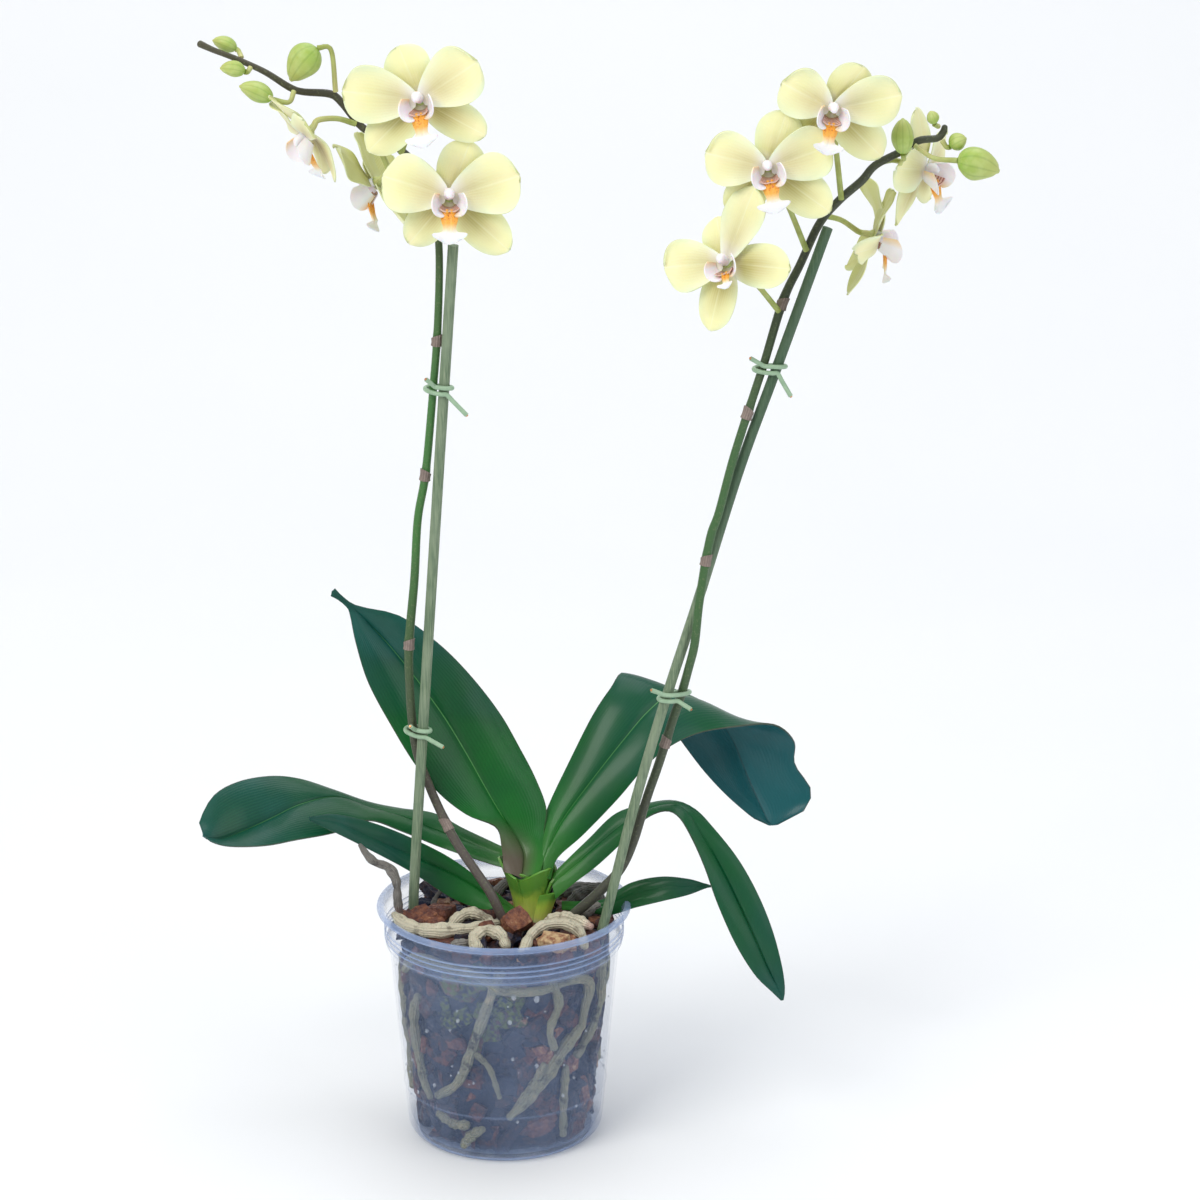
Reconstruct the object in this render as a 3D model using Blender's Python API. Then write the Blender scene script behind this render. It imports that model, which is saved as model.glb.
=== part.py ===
"""Moth orchid with two flower spikes, in a clear nursery pot.

Metres, +Z up. The origin is the middle of the pot's underside, on the surface the pot stands on.
+X runs to the right along the fan of leaves, and the flowers look towards -Y. Lengths below are
in millimetres, and MM turns them into metres where a mesh is made.
"""

import math

import bmesh
import bpy
import numpy as np
from mathutils import Matrix, Vector

MM = 0.001
GAP = 0.3

# Pot: a thin-walled tapered nursery pot with a lip, a collar and a low foot ring.
POT_HEIGHT = 115.0
RIM_RADIUS = 60.0
COLLAR_RADIUS = 56.6
COLLAR_DEPTH = 19.0
BODY_TOP_RADIUS = 54.4
BODY_FOOT_RADIUS = 46.4
CORNER_RADIUS = 5.5
WALL = 1.2
FOOT_RADIUS = 41.0
FOOT_HEIGHT = 1.6
FLOOR_TOP = 3.0
DRAIN_HOLES = 8
DRAIN_RADIUS = 4.0
DRAIN_CIRCLE = 30.0
POT_SIDES = 40

# Potting bark: fills the pot apart from the gap where the wall roots run.
BARK_TOP = 106.0
ROOT_SPACE = 6.0

# Crown: the short stem where leaves, spikes and roots meet.
CROWN_AXIS = (14.0, 6.0)

# Stakes: split cane, slightly bent.
STAKE_RADIUS = 2.5

# A flower: five tepals round a column, with a lip.
PETAL_LENGTH = 33.0
PETAL_HALF_WIDTH = 13.0
DORSAL_LENGTH = 27.5
DORSAL_HALF_WIDTH = 9.5
LATERAL_LENGTH = 31.0
LATERAL_HALF_WIDTH = 9.0
TEPAL_THICKNESS = 1.0
TEPAL_STATIONS = 5

# How a tepal sits: its height over the flower's middle, how far its tip bends forward, and its cupping.
SEPAL_SET = (-1.2, -3.0, -0.02)
PETAL_SET = (1.5, 0.8, 0.03)

# The lip's middle lobe: down from the middle, forward, and half width. A claw that ends in a crescent.
LIP_STATIONS = [(3.0, 4.5, 2.2), (6.5, 5.5, 2.6), (10.0, 7.5, 3.2), (13.5, 10.0, 3.6), (16.5, 11.5, 7.0),
                (18.5, 11.0, 2.0)]
LIP_THICKNESS = 1.2

LEAF_THICKNESS = 2.2
# How far a leaf's edges rise over its midrib, as a share of its half width, at its foot and at its tip.
LEAF_FOLD = (0.45, 0.12)

STAKES = {
    "stake_left": [(-43, 3, 60), (-43, 3, 109), (-37, -1, 202), (-29, -5, 313), (-20, -10, 433)],
    "stake_right": [(34, -12, 60), (47, -15, 109), (62, -16, 172), (76, -17, 223), (90, -17, 269),
                    (108, -18, 331), (124, -19, 378), (146, -20, 443)],
}

# Spikes: x, y, z and radius. A wider point is a node under its dry bract.
SPIKES = {
    "spike_left": [
        (0, -9, 108.9, 2.3), (-6, -8, 122, 2.3), (-13, -5, 132, 2.3), (-23, 0, 146, 2.3),
        (-27, 3, 153, 2.9), (-31, 6, 161, 2.2), (-36, 8, 173, 2.2), (-40, 6, 186, 2.2),
        (-42, 3, 202, 2.1), (-43, 2, 220, 2.1), (-43, 1, 242, 2.8), (-42, 1, 250, 2.1),
        (-40, 0, 274, 2.1), (-38, -1, 303, 2.0), (-34, -2, 326, 2.6), (-32, -3, 334, 2.0),
        (-30, -4, 366, 1.9), (-28.5, -5, 389, 2.4), (-27.5, -6, 396, 1.9), (-26.5, -6.5, 430, 1.8),
        (-29, -4, 450, 1.8), (-37, -2, 468, 1.8), (-49, 0, 478, 1.8), (-60, 0, 484, 1.8),
        (-69, 0, 495, 1.8), (-73, 0, 499, 2.0), (-86, 0, 500, 1.7), (-92, 0, 502, 1.8),
        (-103, 0, 509, 1.5), (-116, 0, 515, 1.5), (-125, 0, 518.5, 1.4), (-129, 0, 520.5, 2.3),
        (-131.5, 0, 521.5, 1.2)],
    "spike_right": [
        (33, -3, 109.4, 2.5), (41, -6, 118, 2.5), (47, -8, 125, 2.5), (55, -9, 135, 2.4),
        (61, -9.5, 149, 2.3), (67, -9.5, 170, 2.2), (72.5, -9.5, 187, 2.2), (76, -10.5, 200, 2.8),
        (78.5, -11, 208, 2.2), (82.3, -13, 221, 2.2), (86, -17.5, 237, 2.1), (88.5, -21.5, 250, 2.1),
        (90.5, -22.8, 271, 2.1),
        (93, -23, 292, 2.7), (95, -23, 300, 2.1), (99, -23, 313, 2.0), (105.5, -22.5, 339, 2.0),
        (112.5, -21, 360, 2.6), (114.5, -20, 368, 2.0), (119, -18, 382, 2.0), (127, -14.5, 409, 2.2),
        (134.5, -12.5, 425, 1.9), (142.5, -12.5, 443, 1.9), (151, -14, 454, 1.9), (161, -14, 463, 2.0),
        (167, -14, 470, 1.8), (180, -14, 477, 1.8), (186, -14, 481, 1.8), (194, -14, 482, 1.7),
        (196, -14, 488, 1.8), (197, -14, 492, 1.2)],
}

# Leaves: x, y, z of the midrib, half width, and the way the upper face looks.
LEAVES = {
    "leaf_upper_left": [
        (6, 12, 144, 7, 0.2, -0.9, 0.3), (-3, 16, 156, 14, 0.2, -0.9, 0.4),
        (-16, 22, 180, 22, 0.3, -0.85, 0.4), (-35, 27, 211, 23, 0.35, -0.85, 0.35),
        (-56, 30, 237, 17, 0.3, -0.9, 0.3), (-71, 30, 252, 6, 0.2, -0.95, 0.2),
        (-79, 28, 260, 3, 0.2, -0.95, 0.2)],
    "leaf_upper_right": [
        (21, 12, 145, 7, -0.6, -0.7, 0.4), (32, 19, 163, 13, -0.65, -0.5, 0.55),
        (47, 28, 183, 17, -0.6, -0.45, 0.6), (64, 37, 195, 20, -0.35, -0.35, 0.85),
        (86, 46, 191, 22, 0.25, 0.25, 0.9), (108, 52, 171, 24, 0.45, 0.8, 0.35),
        (122, 52, 147, 19, 0.4, 0.9, 0.15), (127, 50, 133, 3, 0.3, 0.95, 0.1)],
    "leaf_low_left": [
        (1, 14, 124, 6, -0.1, -0.5, 0.85), (-6, 17, 129, 7, -0.1, -0.5, 0.85),
        (-21, 22, 136, 8, -0.1, -0.5, 0.85), (-43, 27, 144, 7, -0.05, -0.55, 0.85),
        (-63, 28, 150, 8, 0, -0.6, 0.8), (-82, 26, 153.5, 13, 0, -0.65, 0.8),
        (-104, 18, 153, 20, -0.1, -0.65, 0.8), (-123, 9, 148, 20, -0.2, -0.65, 0.75),
        (-140, 0, 143, 4, -0.3, -0.6, 0.75)],
    "leaf_front_left": [
        (4, 4, 110, 4, -0.1, -0.5, 0.85), (-11, 8, 115, 7, -0.1, -0.5, 0.85),
        (-26, 13, 121, 9, -0.1, -0.5, 0.85), (-40, 15.5, 127.5, 8.5, -0.1, -0.5, 0.85),
        (-54, 12, 137.5, 8, -0.1, -0.5, 0.85), (-73, 6, 149, 6, -0.1, -0.5, 0.85),
        (-91, 2, 155.5, 1.5, -0.1, -0.5, 0.85)],
    "leaf_drooping_right": [
        (29, 2, 120, 6, -0.5, -0.5, 0.7), (41, 6, 136, 9, -0.5, -0.4, 0.75),
        (59, 8, 152, 8, -0.3, -0.2, 0.9), (74, 4, 161, 9, 0.2, 0, 0.98),
        (86, -3, 160, 11, 0.5, -0.35, 0.8), (98, -11, 144, 13, 0.75, -0.55, 0.35),
        (114, -18, 110, 12, 0.8, -0.6, 0.15), (131, -24, 75, 2, 0.8, -0.6, 0.1)],
    "leaf_low_right": [
        (30, 6, 109.5, 4, -0.1, -0.3, 0.9), (45, 4, 113, 7, -0.1, -0.3, 0.9),
        (62, 1, 118.5, 8.5, -0.1, -0.35, 0.9), (78, -1, 122.5, 7, 0, -0.4, 0.9),
        (98, -2, 124.5, 1.5, 0, -0.4, 0.9)],
}

# Roots: x, y, z and radius.
ROOTS = {
    "root_front_left": [(-50, -12, 112, 2.6), (-45, -21, 110.2, 3.2), (-34, -26, 110.2, 3.6),
                        (-22, -25, 110.2, 3.4), (-11, -23, 110.2, 3.2), (-3, -17, 110, 2.8)],
    "root_loop_left": [(-24, -17.5, 109.6, 2.6), (-20, -11, 111.5, 2.6), (-14, -8, 112.5, 2.6),
                       (-8, -11, 110.5, 2.6)],
    "root_curl_front": [(-12, -40, 109.4, 2.8), (-12, -33, 110.5, 2.9), (-6, -29, 112, 2.9),
                        (0, -34, 110.5, 2.7), (2, -41, 109, 2.4)],
    "root_arch_front": [(11, -44, 109, 2.4), (14, -34, 112, 2.5), (21, -27, 114.5, 2.6),
                        (31, -27, 114, 2.5), (37, -32, 111.5, 2.5), (38, -38, 109, 2.3)],
    "root_short_right": [(22, -13, 109.8, 3.2), (28, -14, 112, 3.3), (35, -17, 111.5, 3.2),
                         (40, -20, 110.5, 2.4)],
    "root_aerial_left": [(-67, -6, 145.5, 1.6), (-62, -5, 138.5, 2.0), (-54, -4, 133.5, 2.2),
                         (-50, -5, 126.5, 2.4), (-50, -4, 117, 2.2), (-49.5, -3, 109, 2.0)],
}

# Roots pressed against the inside of the pot: angle round the pot from +X, height and radius.
WALL_ROOTS = {
    "root_wall_left": [(-95, 97, 2.2), (-102, 88, 2.4), (-107, 72, 2.4), (-115, 58, 2.4),
                       (-119, 44, 2.3), (-134, 32, 2.1)],
    "root_wall_right": [(-42, 68, 2.4), (-52, 58, 2.6), (-64, 43, 2.6), (-79, 28, 2.3)],
}

# Buds: foot of the stalk on the spike, stalk's turn, neck of the bud, tip of the bud, radius.
BUDS = {
    "bud_left_1": ((-71.5, -2.8, 501.5), (-73, -5, 519.5), (-78, -6, 519.5), (-91, -6, 506), 7.2),
    "bud_left_2": ((-90, -2.2, 499.5), (-92, -7, 496.5), (-99, -8, 498), (-113.5, -8, 504), 4.5),
    "bud_left_3": ((-109, -2.2, 510), (-110, -4.5, 509.5), (-111, -5, 509.8), (-122, -6, 511.5), 3.6),
    "bud_left_4": ((-113, 2.4, 516), (-114.5, 4.8, 517.5), (-115.5, 5, 518), (-126, 5, 522), 3.5),
    "bud_right_1": ((179, -16.4, 474), (179, -19, 473.5), (178.5, -20, 476), (178, -20, 492), 5.0),
    "bud_right_2": ((193.5, -16.4, 487.5), (192.5, -18.5, 488.5), (192, -18.7, 489.2), (190, -19, 495), 2.8),
    "bud_right_3": ((196.6, -14, 479.3), (198, -15, 477.6), (199.5, -16, 478.5), (206.5, -17, 482.5), 4.0),
    "bud_right_4": ((184, -16.6, 477.4), (192, -22, 473.5), (202, -24, 474), (221, -24, 469), 7.4),
}

# Flowers: middle, the way it looks, roll of its top towards the left in degrees, size, stalk's foot.
FLOWERS = {
    "flower_left_1": ((-36, -25, 497), (-0.2, -1.0, 0.05), 14, 1.0, (-43, -4.9, 472)),
    "flower_left_2": ((-22, -27, 458.5), (0.05, -1.0, 0.1), -2, 1.0, (-27, -9.0, 438)),
    "flower_left_3": ((-56, 8, 457), (-0.78, 0.25, -0.55), 12, 0.9, (-56, 2.9, 479.5)),
    "flower_left_4": ((-86, -15, 480), (-0.7, -0.4, -0.6), 5, 0.88, (-63, -2.9, 486)),
    "flower_right_1": ((146, -36, 496), (0.05, -1.0, -0.25), -14, 0.9, (152, -17, 455)),
    "flower_right_2": ((118.5, -36.6, 473.6), (0.0, -1.0, 0.02), 3, 0.88, (137, -15.8, 431)),
    "flower_right_3": ((98, -38, 436.5), (-0.35, -0.9, 0.2), 32, 0.95, (125, -18.6, 404)),
    "flower_right_4": ((170, 13, 427), (0.9, 0.3, -0.2), 8, 0.92, (145, -9.2, 446)),
    "flower_right_5": ((190, 2, 463.5), (0.8, -0.5, -0.15), 12, 0.88, (168, -11.0, 470)),
}

# Ties: the stake, the spike, the height of the loop, and where the wire's right and left ends point.
TIES = {
    "tie_left_upper": ("stake_left", "spike_left", 366, (9, -3, -9), (-4, -3, 4)),
    "tie_left_lower": ("stake_left", "spike_left", 200, (8, -3, -4), (-2, -5, 3)),
    "tie_right_upper": ("stake_right", "spike_right", 379, (6, -3, -10), (-6, -3, 4)),
    "tie_right_lower": ("stake_right", "spike_right", 223, (6, -4, -3), (-6, -3, 3)),
}
TIE_RADIUS = 1.2
TIE_SLACK = 1.5
TIE_RISE = 3.4
TIE_MOUTH = 0.25
TIE_STEPS = 11

# Each material's red, green, blue, roughness and metallic value.
COLOURS = {
    "pot": (0.62, 0.70, 0.80, 0.25, 0.0),
    "bark": (0.16, 0.09, 0.06, 0.9, 0.0),
    "stem": (0.23, 0.30, 0.12, 0.5, 0.0),
    "leaf": (0.03, 0.16, 0.06, 0.3, 0.0),
    "sepal": (0.78, 0.76, 0.42, 0.55, 0.0),
    "petal": (0.82, 0.79, 0.45, 0.55, 0.0),
    "lip": (0.90, 0.55, 0.20, 0.45, 0.0),
    "bud": (0.36, 0.50, 0.14, 0.45, 0.0),
    "root": (0.52, 0.49, 0.38, 0.75, 0.0),
    "cane": (0.24, 0.31, 0.22, 0.7, 0.0),
    "tie": (0.28, 0.42, 0.27, 0.5, 0.0),
}


def clear_scene():
    for obj in list(bpy.data.objects):
        bpy.data.objects.remove(obj, do_unlink=True)


def make_material(name):
    red, green, blue, roughness, metallic = COLOURS[name]
    material = bpy.data.materials.new(name)
    material.use_nodes = True
    shader = material.node_tree.nodes["Principled BSDF"]
    shader.inputs["Base Color"].default_value = (red, green, blue, 1.0)
    shader.inputs["Roughness"].default_value = roughness
    shader.inputs["Metallic"].default_value = metallic
    return material


def add_object(name, mesh, material, parent, matrix=None):
    """Links a mesh as one named sub-part."""
    obj = bpy.data.objects.new(name, mesh)
    bpy.context.scene.collection.objects.link(obj)
    mesh.materials.clear()
    mesh.materials.append(material)
    mesh.shade_smooth()
    mesh.set_sharp_from_angle(angle=math.radians(40))
    obj.parent = parent
    if matrix is not None:
        obj.matrix_local = matrix
    return obj


def smooth_path(points, per_span):
    """Rows read from a Catmull-Rom curve through the given rows."""
    rows = np.asarray(points, float)
    padded = np.vstack([2 * rows[0] - rows[1], rows, 2 * rows[-1] - rows[-2]])
    made = []
    for i in range(len(rows) - 1):
        before, start, end, after = padded[i : i + 4]
        for step in range(per_span):
            t = step / per_span
            made.append(
                0.5 * (2 * start + (end - before) * t
                       + (2 * before - 5 * start + 4 * end - after) * t * t
                       + (3 * start - before - 3 * end + after) * t ** 3))
    made.append(rows[-1])
    return np.array(made)


def tube_mesh(name, rows, resolution=1, per_span=2):
    """A closed round tube along rows of x, y, z and radius; resolution 1 gives six sides."""
    rows = smooth_path(rows, per_span)
    curve = bpy.data.curves.new(name, "CURVE")
    curve.dimensions = "3D"
    curve.bevel_depth = MM
    curve.bevel_resolution = resolution
    curve.use_fill_caps = True
    spline = curve.splines.new("POLY")
    spline.points.add(len(rows) - 1)
    for point, (x, y, z, radius) in zip(spline.points, rows):
        point.co = (x * MM, y * MM, z * MM, 1.0)
        point.radius = radius
    guide = bpy.data.objects.new(name, curve)
    bpy.context.scene.collection.objects.link(guide)
    mesh = evaluated_mesh(guide)
    bpy.data.objects.remove(guide, do_unlink=True)
    bpy.data.curves.remove(curve)
    weld(mesh)
    return mesh


def evaluated_mesh(obj):
    bpy.context.view_layer.update()
    graph = bpy.context.evaluated_depsgraph_get()
    return bpy.data.meshes.new_from_object(obj.evaluated_get(graph), depsgraph=graph)


def weld(mesh):
    """Merges doubled points and turns every face outwards."""
    bm = bmesh.new()
    bm.from_mesh(mesh)
    bmesh.ops.remove_doubles(bm, verts=bm.verts, dist=0.00001)
    bmesh.ops.recalc_face_normals(bm, faces=bm.faces)
    bm.to_mesh(mesh)
    bm.free()


def sheet_mesh(name, grid, thickness):
    """A thin closed body: a grid of points skinned with faces and thickened to both sides."""
    mesh = bpy.data.meshes.new(name)
    bm = bmesh.new()
    verts = [[bm.verts.new(Vector(point) * MM) for point in row] for row in grid]
    for near, far in zip(verts, verts[1:]):
        for i in range(len(near) - 1):
            bm.faces.new((near[i], near[i + 1], far[i + 1], far[i]))
    bm.to_mesh(mesh)
    bm.free()
    sheet = bpy.data.objects.new(name, mesh)
    bpy.context.scene.collection.objects.link(sheet)
    solidify = sheet.modifiers.new("thickness", "SOLIDIFY")
    solidify.thickness = thickness * MM
    solidify.offset = 0.0
    thick = evaluated_mesh(sheet)
    bpy.data.objects.remove(sheet, do_unlink=True)
    weld(thick)
    return thick


def ball_mesh(name, centre, radii, rings=4, segments=6):
    mesh = bpy.data.meshes.new(name)
    bm = bmesh.new()
    bmesh.ops.create_uvsphere(bm, u_segments=segments, v_segments=rings, radius=1.0)
    for vert in bm.verts:
        vert.co = Vector([(c + v * r) * MM for c, v, r in zip(centre, vert.co, radii)])
    bm.to_mesh(mesh)
    bm.free()
    return mesh


def boolean_mesh(base, others, operation):
    """The base mesh joined with, or cut by, the other meshes."""
    target = bpy.data.objects.new("target", base)
    bpy.context.scene.collection.objects.link(target)
    helpers = []
    for other in others:
        helper = bpy.data.objects.new("helper", other)
        bpy.context.scene.collection.objects.link(helper)
        helpers.append(helper)
        modifier = target.modifiers.new("join", "BOOLEAN")
        modifier.operation = operation
        modifier.solver = "EXACT"
        modifier.object = helper
    mesh = evaluated_mesh(target)
    for obj in [target, *helpers]:
        bpy.data.objects.remove(obj, do_unlink=True)
    weld(mesh)
    return mesh


def turned_mesh(name, profile, sides):
    """A closed turned body from a profile of radius and height that starts and ends on the axis."""
    mesh = bpy.data.meshes.new(name)
    bm = bmesh.new()
    verts = [bm.verts.new((radius * MM, 0, height * MM)) for radius, height in profile]
    edges = [bm.edges.new(pair) for pair in zip(verts, verts[1:])]
    bmesh.ops.spin(bm, geom=verts + edges, cent=(0, 0, 0), axis=(0, 0, 1),
                   angle=2 * math.pi, steps=sides)
    bmesh.ops.remove_doubles(bm, verts=bm.verts, dist=0.00001)
    bmesh.ops.recalc_face_normals(bm, faces=bm.faces)
    bm.to_mesh(mesh)
    bm.free()
    return mesh


def body_radius(height):
    """Outer radius of the pot's tapered body."""
    share = (height - CORNER_RADIUS) / (POT_HEIGHT - COLLAR_DEPTH - CORNER_RADIUS)
    return BODY_FOOT_RADIUS + share * (BODY_TOP_RADIUS - BODY_FOOT_RADIUS)


def pot_profile():
    """Up the outside from the foot, over the lip and down the inside to the middle of the floor."""
    corner = [(BODY_FOOT_RADIUS - CORNER_RADIUS * (1 - math.sin(turn)),
               FOOT_HEIGHT / 2 + CORNER_RADIUS * (1 - math.cos(turn)))
              for turn in np.radians((25, 55, 90))]
    collar_foot = POT_HEIGHT - COLLAR_DEPTH
    collar_inside = COLLAR_RADIUS - WALL
    outside = [(0, 0), (FOOT_RADIUS, 0), (FOOT_RADIUS + 0.6, FOOT_HEIGHT), *corner,
               (body_radius(collar_foot - 1.5), collar_foot - 1.5), (COLLAR_RADIUS - 0.8, collar_foot)]
    lip = [(COLLAR_RADIUS, POT_HEIGHT - 3.6), (RIM_RADIUS - 0.5, POT_HEIGHT - 3.0),
           (RIM_RADIUS, POT_HEIGHT - 1.6), (RIM_RADIUS - 0.6, POT_HEIGHT), (RIM_RADIUS - 2.4, POT_HEIGHT),
           (collar_inside, POT_HEIGHT - 2.5)]
    inside = [(collar_inside - 0.8, collar_foot + 1.0),
              (body_radius(collar_foot - 2) - WALL, collar_foot - 1.5),
              (body_radius(10) - WALL, 10.0), (body_radius(6) - WALL - 2.2, FLOOR_TOP + 1.2),
              (body_radius(6) - WALL - 5.5, FLOOR_TOP), (0, FLOOR_TOP)]
    return outside + lip + inside


def wall_point(angle, height, radius):
    """A point of a root of that radius lying against the inside of the wall."""
    reach = body_radius(height) - WALL - radius - 2 * GAP
    turn = math.radians(angle)
    return reach * math.cos(turn), reach * math.sin(turn), height, radius


def make_pot(material, parent):
    holes = []
    for i in range(DRAIN_HOLES):
        angle = 2 * math.pi * (i + 0.5) / DRAIN_HOLES
        x = DRAIN_CIRCLE * math.cos(angle)
        y = DRAIN_CIRCLE * math.sin(angle)
        holes.append(rod_mesh((x, y, -2), (x, y, FLOOR_TOP + 2), DRAIN_RADIUS, 8))
    pot = boolean_mesh(turned_mesh("pot", pot_profile(), POT_SIDES), holes, "DIFFERENCE")
    add_object("pot", pot, material, parent)


def rod_mesh(start, end, radius, sides):
    """A straight closed cylinder between two points."""
    mesh = bpy.data.meshes.new("rod")
    start = Vector(start)
    along = Vector(end) - start
    bm = bmesh.new()
    upright = along.to_track_quat("Z", "Y").to_matrix().to_4x4()
    place = Matrix.Translation((start + along / 2) * MM) @ upright
    bmesh.ops.create_cone(bm, cap_ends=True, segments=sides, radius1=radius * MM, radius2=radius * MM,
                          depth=along.length * MM, matrix=place)
    bm.to_mesh(mesh)
    bm.free()
    return mesh


def make_bark(material, parent):
    """The packed bark, with the holes that the stakes are pushed into."""
    low = FLOOR_TOP + GAP
    foot = body_radius(8) - WALL - ROOT_SPACE
    top = BODY_TOP_RADIUS - WALL
    profile = [(0, low), (foot - 3, low), (foot, low + 3), (top - ROOT_SPACE, BARK_TOP - 12),
               (top - 2.5, BARK_TOP - 1.5), (top - 5, BARK_TOP), (0, BARK_TOP)]
    holes = []
    for route in STAKES.values():
        foot = Vector(route[0])
        surface = Vector(route[1])
        along = (surface - foot).normalized()
        holes.append(rod_mesh(foot - along, surface + along * 10, STAKE_RADIUS + 2 * GAP, 12))
    bark = boolean_mesh(turned_mesh("potting_bark", profile, 32), holes, "DIFFERENCE")
    add_object("potting_bark", bark, material, parent)


def make_crown(material, parent):
    foot = BARK_TOP + GAP
    profile = [(0, foot), (5.5, foot), (7.5, 112), (9.5, 120), (10.5, 130), (9.0, 138), (4.5, 141.5),
               (0, 142)]
    crown = turned_mesh("crown", profile, 16)
    place = Matrix.Translation(Vector((*CROWN_AXIS, 0)) * MM)
    add_object("crown", crown, material, parent, place)


def leaf_grid(stations, per_span=2):
    """Rows of edge, midrib, edge: the blade is folded along its midrib, less so towards the tip."""
    rows = smooth_path(stations, per_span)
    middle = rows[:, :3]
    half_width = np.maximum(rows[:, 3:4], 1.0)
    along = np.gradient(middle, axis=0)
    along /= np.linalg.norm(along, axis=1, keepdims=True)
    across = np.cross(along, rows[:, 4:7])
    across /= np.linalg.norm(across, axis=1, keepdims=True)
    face = np.cross(across, along)
    lift = np.linspace(*LEAF_FOLD, len(rows))[:, None]
    side = np.sqrt(1 - lift ** 2)
    left = middle + half_width * (-side * across + lift * face)
    right = middle + half_width * (side * across + lift * face)
    return np.stack([left, middle, right], axis=1)


def tepal_grid(angle, length, half_width, height, bend, cup):
    """Rows of edge, midline, edge of a petal or sepal that leaves the flower's middle at the angle."""
    turn = math.radians(angle)
    along = np.array([math.cos(turn), math.sin(turn), 0])
    across = np.array([-math.sin(turn), math.cos(turn), 0])
    forward = np.array([0, 0, 1])
    rows = []
    for share in np.linspace(0, 1, TEPAL_STATIONS):
        width = half_width * max(math.sin(math.pi * share ** 0.8) ** 0.6, 0.14 + 0.2 * share)
        middle = along * (1 + (length - 1) * share) + forward * (height + bend * share ** 2)
        edge = across * width
        lift = forward * cup * width
        rows.append([middle - edge + lift, middle, middle + edge + lift])
    return rows


def lip_grid():
    """Rows of edge, midline, edge of the lip's middle lobe, whose edges curl forward and down."""
    rows = []
    for down, out, width in LIP_STATIONS:
        edge_down = down + 0.2 * width
        edge_out = out + 0.15 * width
        rows.append([(-width, -edge_down, edge_out), (0, -down, out), (width, -edge_down, edge_out)])
    return rows


def flower_frame(middle, looks, roll):
    """Local +Z looks out of the flower and +Y runs to its top sepal."""
    forward = Vector(looks).normalized()
    top = (Vector((0, 0, 1)) - forward * forward.z).normalized()
    right = top.cross(forward)
    turn = math.radians(roll)
    top = top * math.cos(turn) - right * math.sin(turn)
    right = top.cross(forward)
    rotation = Matrix((right, top, forward)).transposed().to_4x4()
    return Matrix.Translation(Vector(middle) * MM) @ rotation


def stalk_rows(frame, foot, size):
    """The flower's stalk in its own frame: out of its back, then round to the foot on the spike."""
    to_local = frame.inverted()
    foot = Vector(to_local @ (Vector(foot) * MM)) / MM
    start = Vector((0, 0, -3.0 * size))
    back = Vector((0, 1.0, -8.0 * size))
    turn = back.lerp(foot, 0.5) + Vector((0, 1.5, -1.5))
    radii = (1.6, 1.4, 1.2, 1.2)
    return [(*point, radius) for point, radius in zip((start, back, turn, foot), radii)]


def tepal_mesh(angle, length, half_width, sits):
    return sheet_mesh("tepal", tepal_grid(angle, length, half_width, *sits), TEPAL_THICKNESS)


def make_flower(name, spec, materials, parent):
    """Three nodes: the sepals with the hub and the stalk, the petals with the column, and the lip."""
    middle, looks, roll, size, foot = spec
    frame = flower_frame(middle, looks, roll)
    hub = ball_mesh("hub", (0, 0, -2.4), (2.4 * size, 2.4 * size, 2.3))
    stalk = tube_mesh("stalk", stalk_rows(frame, foot, size), per_span=1)
    sepals = [tepal_mesh(90, DORSAL_LENGTH * size, DORSAL_HALF_WIDTH * size, SEPAL_SET)]
    for angle in (-50, -130):
        sepals.append(tepal_mesh(angle, LATERAL_LENGTH * size, LATERAL_HALF_WIDTH * size, SEPAL_SET))
    calyx = boolean_mesh(hub, [*sepals, stalk], "UNION")
    add_object(name + "_sepals", calyx, materials["sepal"], parent, frame)

    column_rows = [(0, 0, 0.9, 2.2), (0, 0.3, 4.0, 2.2), (0, 0.2, 7.0, 2.4), (0, -0.6, 9.0, 1.2)]
    column = tube_mesh("column", column_rows, per_span=1)
    petals = [tepal_mesh(angle, PETAL_LENGTH * size, PETAL_HALF_WIDTH * size, PETAL_SET)
              for angle in (18, 162)]
    add_object(name + "_petals", boolean_mesh(column, petals, "UNION"), materials["petal"], parent, frame)

    lobes = [ball_mesh("lobe", (side * 4.9, -1.6, 6.6), (1.9, 3.6, 3.4)) for side in (-1, 1)]
    bridge = ball_mesh("bridge", (0, -4.4, 5.0), (5.2, 1.8, 1.8))
    blade = sheet_mesh("blade", lip_grid(), LIP_THICKNESS)
    lip = boolean_mesh(bridge, [*lobes, blade], "UNION")
    add_object(name + "_lip", lip, materials["lip"], parent, frame)


def make_bud(name, spec, material, parent):
    """A bud and its stalk, one tube that swells into the bud."""
    foot, turn, neck, tip, radius = spec
    neck = np.array(neck, float)
    along = np.array(tip, float) - neck
    rows = [(*foot, 1.1), (*turn, 1.0), (*neck, 1.2)]
    for share, fullness in ((0.2, 0.72), (0.45, 1.0), (0.7, 0.82), (0.9, 0.4), (1.0, 0.12)):
        rows.append((*(neck + along * share), radius * fullness))
    add_object(name, tube_mesh(name, rows, resolution=2, per_span=1), material, parent)


def point_at_height(route, height):
    rows = smooth_path([row[:3] for row in route], 8)
    return np.array([np.interp(height, rows[:, 2], rows[:, axis]) for axis in range(3)])


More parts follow.
